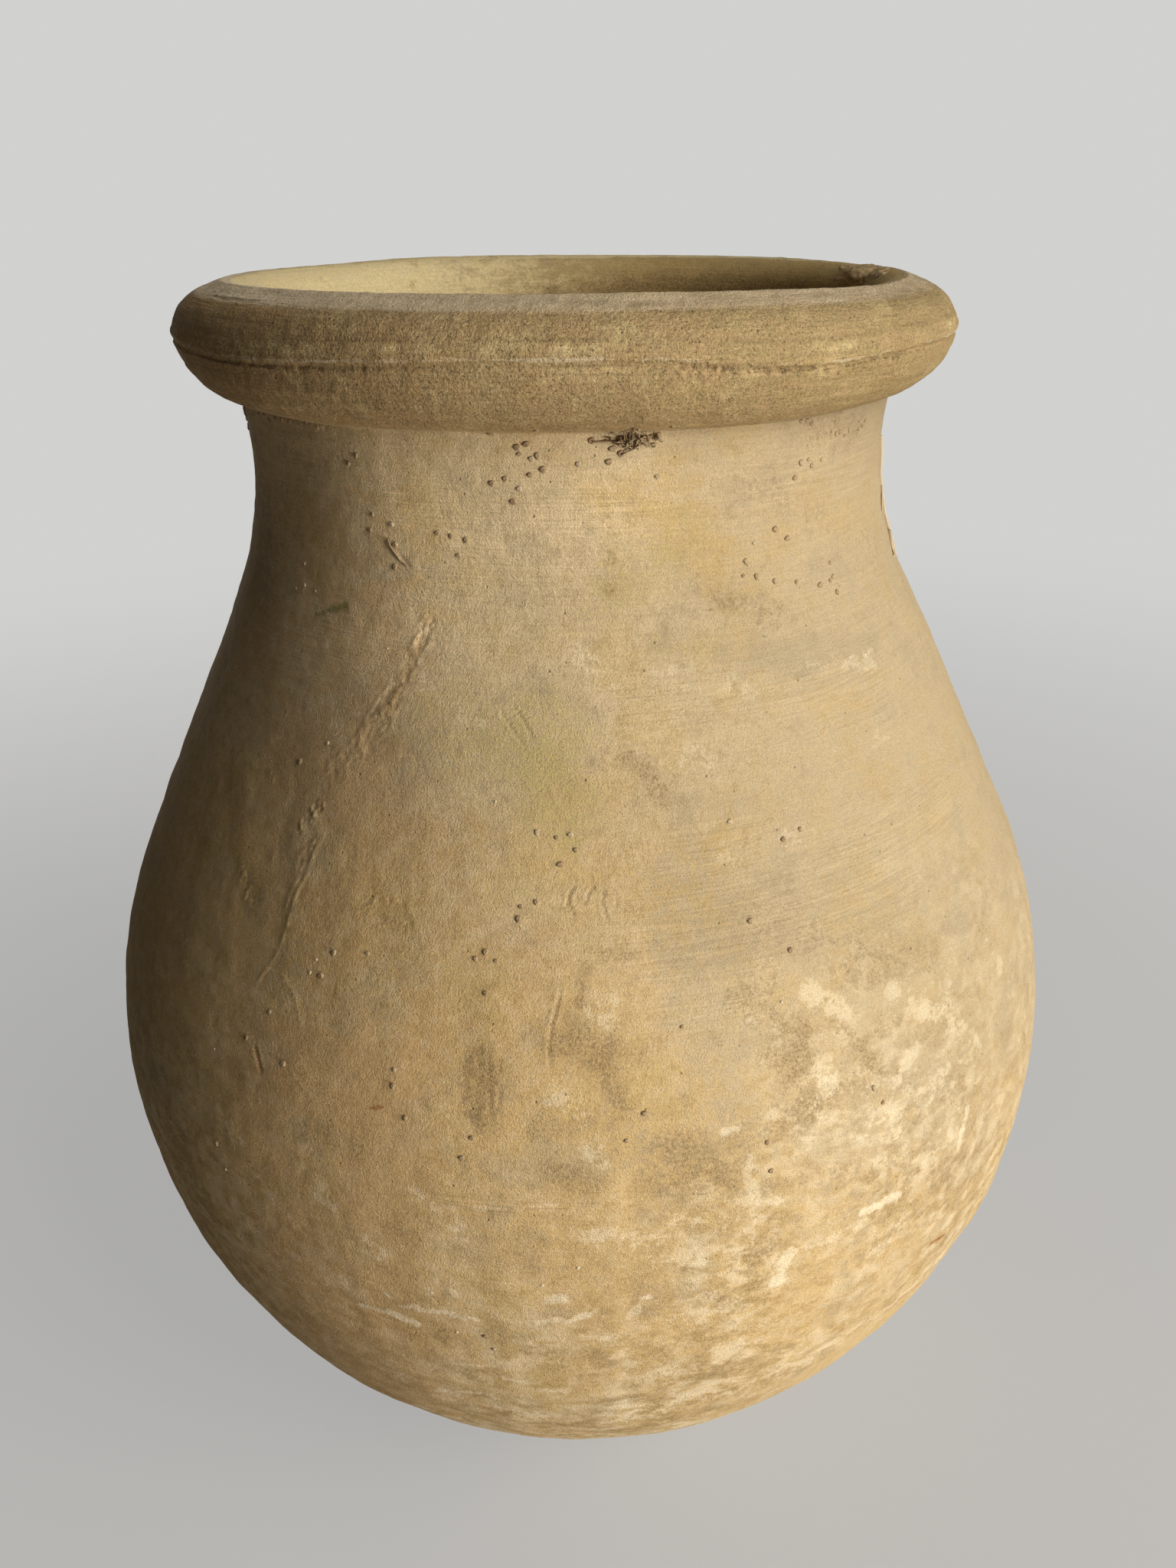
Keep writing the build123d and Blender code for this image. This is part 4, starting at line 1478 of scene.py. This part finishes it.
# Dried remains of a climbing plant: pads that held its tendrils, by pixels
PADS = [
    (643, 566), (687, 580), (675, 584), (678, 593), (694, 599), (702, 595), (755, 606),
    (709, 613), (692, 620), (660, 625), (642, 631), (678, 638), (670, 655), (486, 672),
    (483, 692), (511, 685), (516, 711), (516, 740), (571, 696), (589, 700), (599, 725),
    (609, 705), (455, 605), (465, 595),
    (1012, 691), (1028, 703), (985, 709), (974, 733), (971, 752), (988, 753), (1012, 759),
    (1040, 760), (1084, 735), (1088, 753), (1084, 758), (1071, 764), (1093, 773),
    (1056, 600), (1073, 600), (1060, 608), (1046, 604), (1038, 624), (795, 603), (858, 622),
    (701, 1087), (727, 1094), (745, 1090), (752, 1110), (732, 1129), (677, 1200), (680, 1184),
    (700, 1178), (428, 970), (392, 994), (436, 1244),
    (419, 1274), (480, 1245), (634, 1243), (648, 1255), (621, 1252), (634, 1297), (529, 1460),
    (515, 1397), (513, 1418), (322, 1355), (370, 1389), (352, 1321),
    (283, 1493), (616, 1486), (603, 1512), (891, 1341), (1032, 1241), (842, 1454),
    (1002, 1492), (1141, 1421), (1153, 1440), (1007, 1529), (953, 1073), (1023, 1096),
    (1045, 1083), (980, 1203), (818, 1490), (634, 1745), (645, 1762),
]
DUSTED_PADS = [
    (398, 736), (398, 764), (387, 768), (412, 772), (506, 847), (413, 1253), (405, 1270),
    (647, 1047), (280, 1370), (295, 1527), (708, 1679), (755, 1656), (597, 1740), (1021, 1309),
]
PAD_RADIUS = 1.0
PAD_SECTION = [(1.0, -0.12), (0.98, 0.14), (0.8, 0.42), (0.5, 0.58), (0.22, 0.46)]
PAD_SIDES = 10
BACK_CLUSTERS = 14
BACK_HEIGHTS = (110, 440)


class Shapes:
    """Several small closed shapes that are one piece."""

    def __init__(self):
        self.points = []
        self.faces = []
        self.dusted = []

    def rings(self, rings, dusted=0.0):
        """A closed shape from rings of equal count, with a flat end at each side."""
        sides, first = len(rings[0]), len(self.points)
        index = first + np.arange(len(rings) * sides).reshape(len(rings), sides)
        self.faces += list(grid_faces(index).reshape(-1, 4)) + [index[0][::-1], index[-1]]
        self.points += [tuple(p) for ring in rings for p in ring]
        self.dusted += [dusted] * (len(rings) * sides)

    def pad(self, place, normal, radius, rng, dusted=0.0):
        """A low round pad, sunk a little into the wall, dimpled where its stalk was."""
        side = normal.cross(Vector((0, 0, 1))).normalized()
        up = side.cross(normal)
        oval = rng.uniform(0.85, 1.2)
        rings = []
        for share, rise in PAD_SECTION:
            ring = []
            for turn in np.linspace(0, 2 * math.pi, PAD_SIDES, endpoint=False):
                reach = radius * share * (1 + 0.12 * math.sin(3 * turn + 7 * oval))
                offset = side * math.cos(turn) * oval + up * math.sin(turn) / oval
                ring.append(place + offset * reach + normal * rise * radius)
            rings.append(ring[::-1])
        self.rings(rings, dusted)

    def stalk(self, stops, radius, rng, sides=6, dusted=0.0):
        """A thin crooked stem along some stops."""
        rings = []
        for i, stop in enumerate(stops):
            way = (stops[min(len(stops) - 1, i + 1)] - stops[max(0, i - 1)]).normalized()
            side = way.orthogonal().normalized()
            up = way.cross(side)
            size = radius * rng.uniform(0.8, 1.2)
            ring = []
            for turn in np.linspace(0, 2 * math.pi, sides, endpoint=False):
                ring.append(stop + (side * math.cos(turn) + up * math.sin(turn)) * size)
            rings.append(ring)
        self.rings(rings, dusted)

    def place(self, name):
        """Puts the shapes in the scene as one piece."""
        piece = add_mesh(name, np.array(self.points), self.faces, plant)
        set_area(piece, "dusted", self.dusted)
        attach(piece, "root")


def add_pads():
    """Every pad seen in the photograph, and like clusters on the side that it hides."""
    rng = np.random.default_rng(91)
    shapes = Shapes()
    for pixel in PADS:
        dusted = rng.uniform(-0.9, 0.45)
        radius = PAD_RADIUS * rng.uniform(0.75, 1.15)
        shapes.pad(*marked_surface.hit(*pixel), radius, rng, max(0.0, dusted))
    for pixel in DUSTED_PADS:
        shapes.pad(*marked_surface.hit(*pixel), PAD_RADIUS * rng.uniform(0.4, 0.7), rng, 1.0)
    for _ in range(BACK_CLUSTERS):
        turn = QUARTER_TURN + rng.uniform(-85, 85)
        height = rng.uniform(*BACK_HEIGHTS)
        for _ in range(rng.integers(3, 9)):
            spot = (turn + rng.normal(0, 3), height + rng.normal(0, 8))
            shapes.pad(*marked_surface.beside(*spot), PAD_RADIUS * rng.uniform(0.7, 1.15), rng)
    shapes.place("creeper_pads")


def on_wall(x, y, lift):
    """A point over the wall at a pixel, lifted off it by some millimetres."""
    place, normal = marked_surface.hit(x, y)
    return place + normal * lift


# Stems that are left: pixels, and lifts off the wall in millimetres
STALKS = [
    [(773, 575, 0.4), (780, 577, 0.7), (790, 576, 0.9), (801, 576, 0.9), (812, 577, 1.0)],
    [(811, 593, 0.5), (818, 589, 1.0), (826, 585, 1.2), (836, 580, 1.2)],
    [(856, 574, 0.8), (860, 568, 0.5)], [(848, 580, 0.7), (857, 579, 0.6)],
    [(507, 703, 0.5), (511, 713, 0.6), (517, 723, 0.3), (524, 733, 0.2), (531, 740, 0.0)],
]
STALK_PADS = [(773, 575), (811, 592), (800, 586), (860, 568), (803, 564), (833, 562)]
TUFT = (826, 574)
TUFT_SPREAD = (27, 12)
TUFT_STUBS = 80
# Crumbs under the rim, by pixels
CRUMBS = [
    (330, 541), (338, 540), (345, 541), (352, 548), (360, 546), (368, 548), (378, 550),
    (392, 554), (400, 552), (415, 558), (1046, 550), (1054, 549), (1060, 553), (1080, 566),
    (1086, 563), (1092, 566), (1097, 564), (1103, 569), (1109, 563), (1122, 550), (1126, 556),
    (1130, 549), (1121, 560), (700, 562), (745, 564), (878, 557), (640, 566),
]
# Angles round the jar in degrees, heights and lifts in millimetres
EDGE_STEM = [(-13.5, 444, 0.0), (-12.6, 438, 0.2), (-13.2, 430, 0.1), (-12.8, 422, 0.3),
             (-13.3, 415, 0.2), (-12.7, 409, 0.5), (-13.2, 403, 0.6), (-14.0, 399, 0.2)]
EDGE_FORK = [(-13.0, 408, 0.4), (-15.2, 403, 0.5), (-16.5, 400, 0.1)]
EDGE_TWIG = [(-18.0, 418, 0.3), (-17.0, 423, 0.5), (-15.0, 426, 0.4)]
LEFT_CRUMBS = [(-165.8, 456.5), (-165.2, 454.5), (-166.3, 453.0), (-164.5, 451.5),
               (-165.6, 450.0), (-163.8, 456.0), (-162.5, 457.5), (-161.0, 458.5)]


def add_stems():
    """The tuft of tendrils under the rim, loose stalks, crumbs and the strip of stem."""
    rng = np.random.default_rng(92)
    shapes = Shapes()
    for run in STALKS:
        shapes.stalk([on_wall(*stop) for stop in run], 0.32, rng)
    for pixel in STALK_PADS:
        shapes.pad(*marked_surface.hit(*pixel), 1.15 * PAD_RADIUS, rng)
    for _ in range(TUFT_STUBS):
        x = TUFT[0] + rng.normal(0, 0.5) * TUFT_SPREAD[0]
        y = TUFT[1] + rng.normal(0, 0.5) * TUFT_SPREAD[1]
        turn, reach = rng.uniform(0, math.pi), rng.uniform(2, 7)
        step_x, step_y = reach * math.cos(turn), reach * math.sin(turn)
        top = rng.uniform(0.8, 2.2)
        stops = [on_wall(x - step_x, y - step_y, 0.2), on_wall(x, y, top),
                 on_wall(x + step_x, y + step_y, rng.uniform(0.2, top))]
        shapes.stalk(stops, rng.uniform(0.16, 0.32), rng, 5)
    for pixel in CRUMBS:
        shapes.pad(*marked_surface.hit(*pixel), rng.uniform(0.4, 0.95), rng)
    for spot in LEFT_CRUMBS:
        shapes.pad(*marked_surface.beside(*spot), rng.uniform(0.7, 1.3), rng)
    for run, radius in ((EDGE_STEM, 0.75), (EDGE_FORK, 0.7), (EDGE_TWIG, 0.3)):
        stops = []
        for turn, height, lift in run:
            place, normal = marked_surface.beside(turn, height)
            stops.append(place + normal * lift)
        shapes.stalk(stops, radius, rng, 8, 0.6)
    shapes.place("creeper_stems")


add_pads()
add_stems()


# Stage: a pale floor that fades into a plain backdrop, a wide soft light from the right,
# a weaker one on the side that the photograph hides, and an even sky
FLOOR_REACH = 8.0
FLOOR_COLOUR = (0.4, 0.37, 0.33, 1)
BACKDROP = (0.64, 0.64, 0.63, 1)
FADE_NEAR = 0.15
FADE_FAR = 1.7
FADE_LEAST = 0.6
SKY_LIGHT = (1.0, 0.88, 0.76, 1)
SKY_STRENGTH = 0.009
LAMPS = [
    # name, place, aimed at, width, height, watts, colour
    ("window", (1.56, -1.2, 1.7), (0, 0, 0.5), 1.3, 1.2, 45.5, (1.0, 0.99, 0.97)),
    ("low_window", (1.32, -1.22, 0.16), (0, 0, 0.13), 0.7, 0.3, 26, (1.0, 0.99, 0.97)),
    ("back_window", (-0.57, 2.12, 0.4), (0, 0, 0.25), 1.2, 0.6, 16, (1.0, 0.99, 0.97)),
]


def add_floor():
    """A pale floor that keeps the jar's shadow, and has the backdrop's colour far away."""
    corners = [(-1, -1, 0), (1, -1, 0), (1, 1, 0), (-1, 1, 0)]
    points = np.array(corners, float) * FLOOR_REACH / MM
    material = bpy.data.materials.new("floor")
    n = Nodes(material)
    shader = n.tree.nodes["Principled BSDF"]
    shader.inputs["Base Color"].default_value = FLOOR_COLOUR
    shader.inputs["Roughness"].default_value = 0.9
    glow = n.node("Emission", {"Color": BACKDROP})
    away = n.node("VectorMath", {0: n.place}, operation="LENGTH").outputs["Value"]
    share = n.product(n.step(away, FADE_NEAR / MM, FADE_FAR / MM, FADE_LEAST), n.seen())
    mixed = n.node("MixShader", {0: share, 1: shader.outputs[0], 2: glow.outputs[0]})
    n.link(mixed.outputs[0], n.tree.nodes["Material Output"].inputs["Surface"])
    add_mesh("floor", points, [[0, 1, 2, 3]], material)


def add_lamp(name, place, target, width, height, watts, colour):
    """A soft window of light, itself out of the camera's sight."""
    data = bpy.data.lights.new(name, "AREA")
    data.shape = "RECTANGLE"
    data.size = width
    data.size_y = height
    data.energy = watts
    data.color = colour
    lamp = bpy.data.objects.new(name, data)
    bpy.context.scene.collection.objects.link(lamp)
    lamp.location = place
    lamp.visible_camera = False
    lamp.rotation_mode = "QUATERNION"
    way = Vector(target) - Vector(place)
    lamp.rotation_quaternion = way.to_track_quat("-Z", "Y")


def add_sky():
    """Even light from all round, and the plain backdrop where the camera sees it."""
    world = bpy.data.worlds.new("sky")
    bpy.context.scene.world = world
    n = Nodes(world)
    light = n.tree.nodes["Background"]
    light.inputs["Color"].default_value = SKY_LIGHT
    light.inputs["Strength"].default_value = SKY_STRENGTH
    backdrop = n.node("Background", {"Color": BACKDROP})
    mixed = n.node("MixShader", {0: n.seen(), 1: light.outputs[0], 2: backdrop.outputs[0]})
    n.link(mixed.outputs[0], n.tree.nodes["World Output"].inputs["Surface"])


add_floor()
for lamp_facts in LAMPS:
    add_lamp(*lamp_facts)
add_sky()
bpy.context.scene.view_settings.view_transform = "Standard"
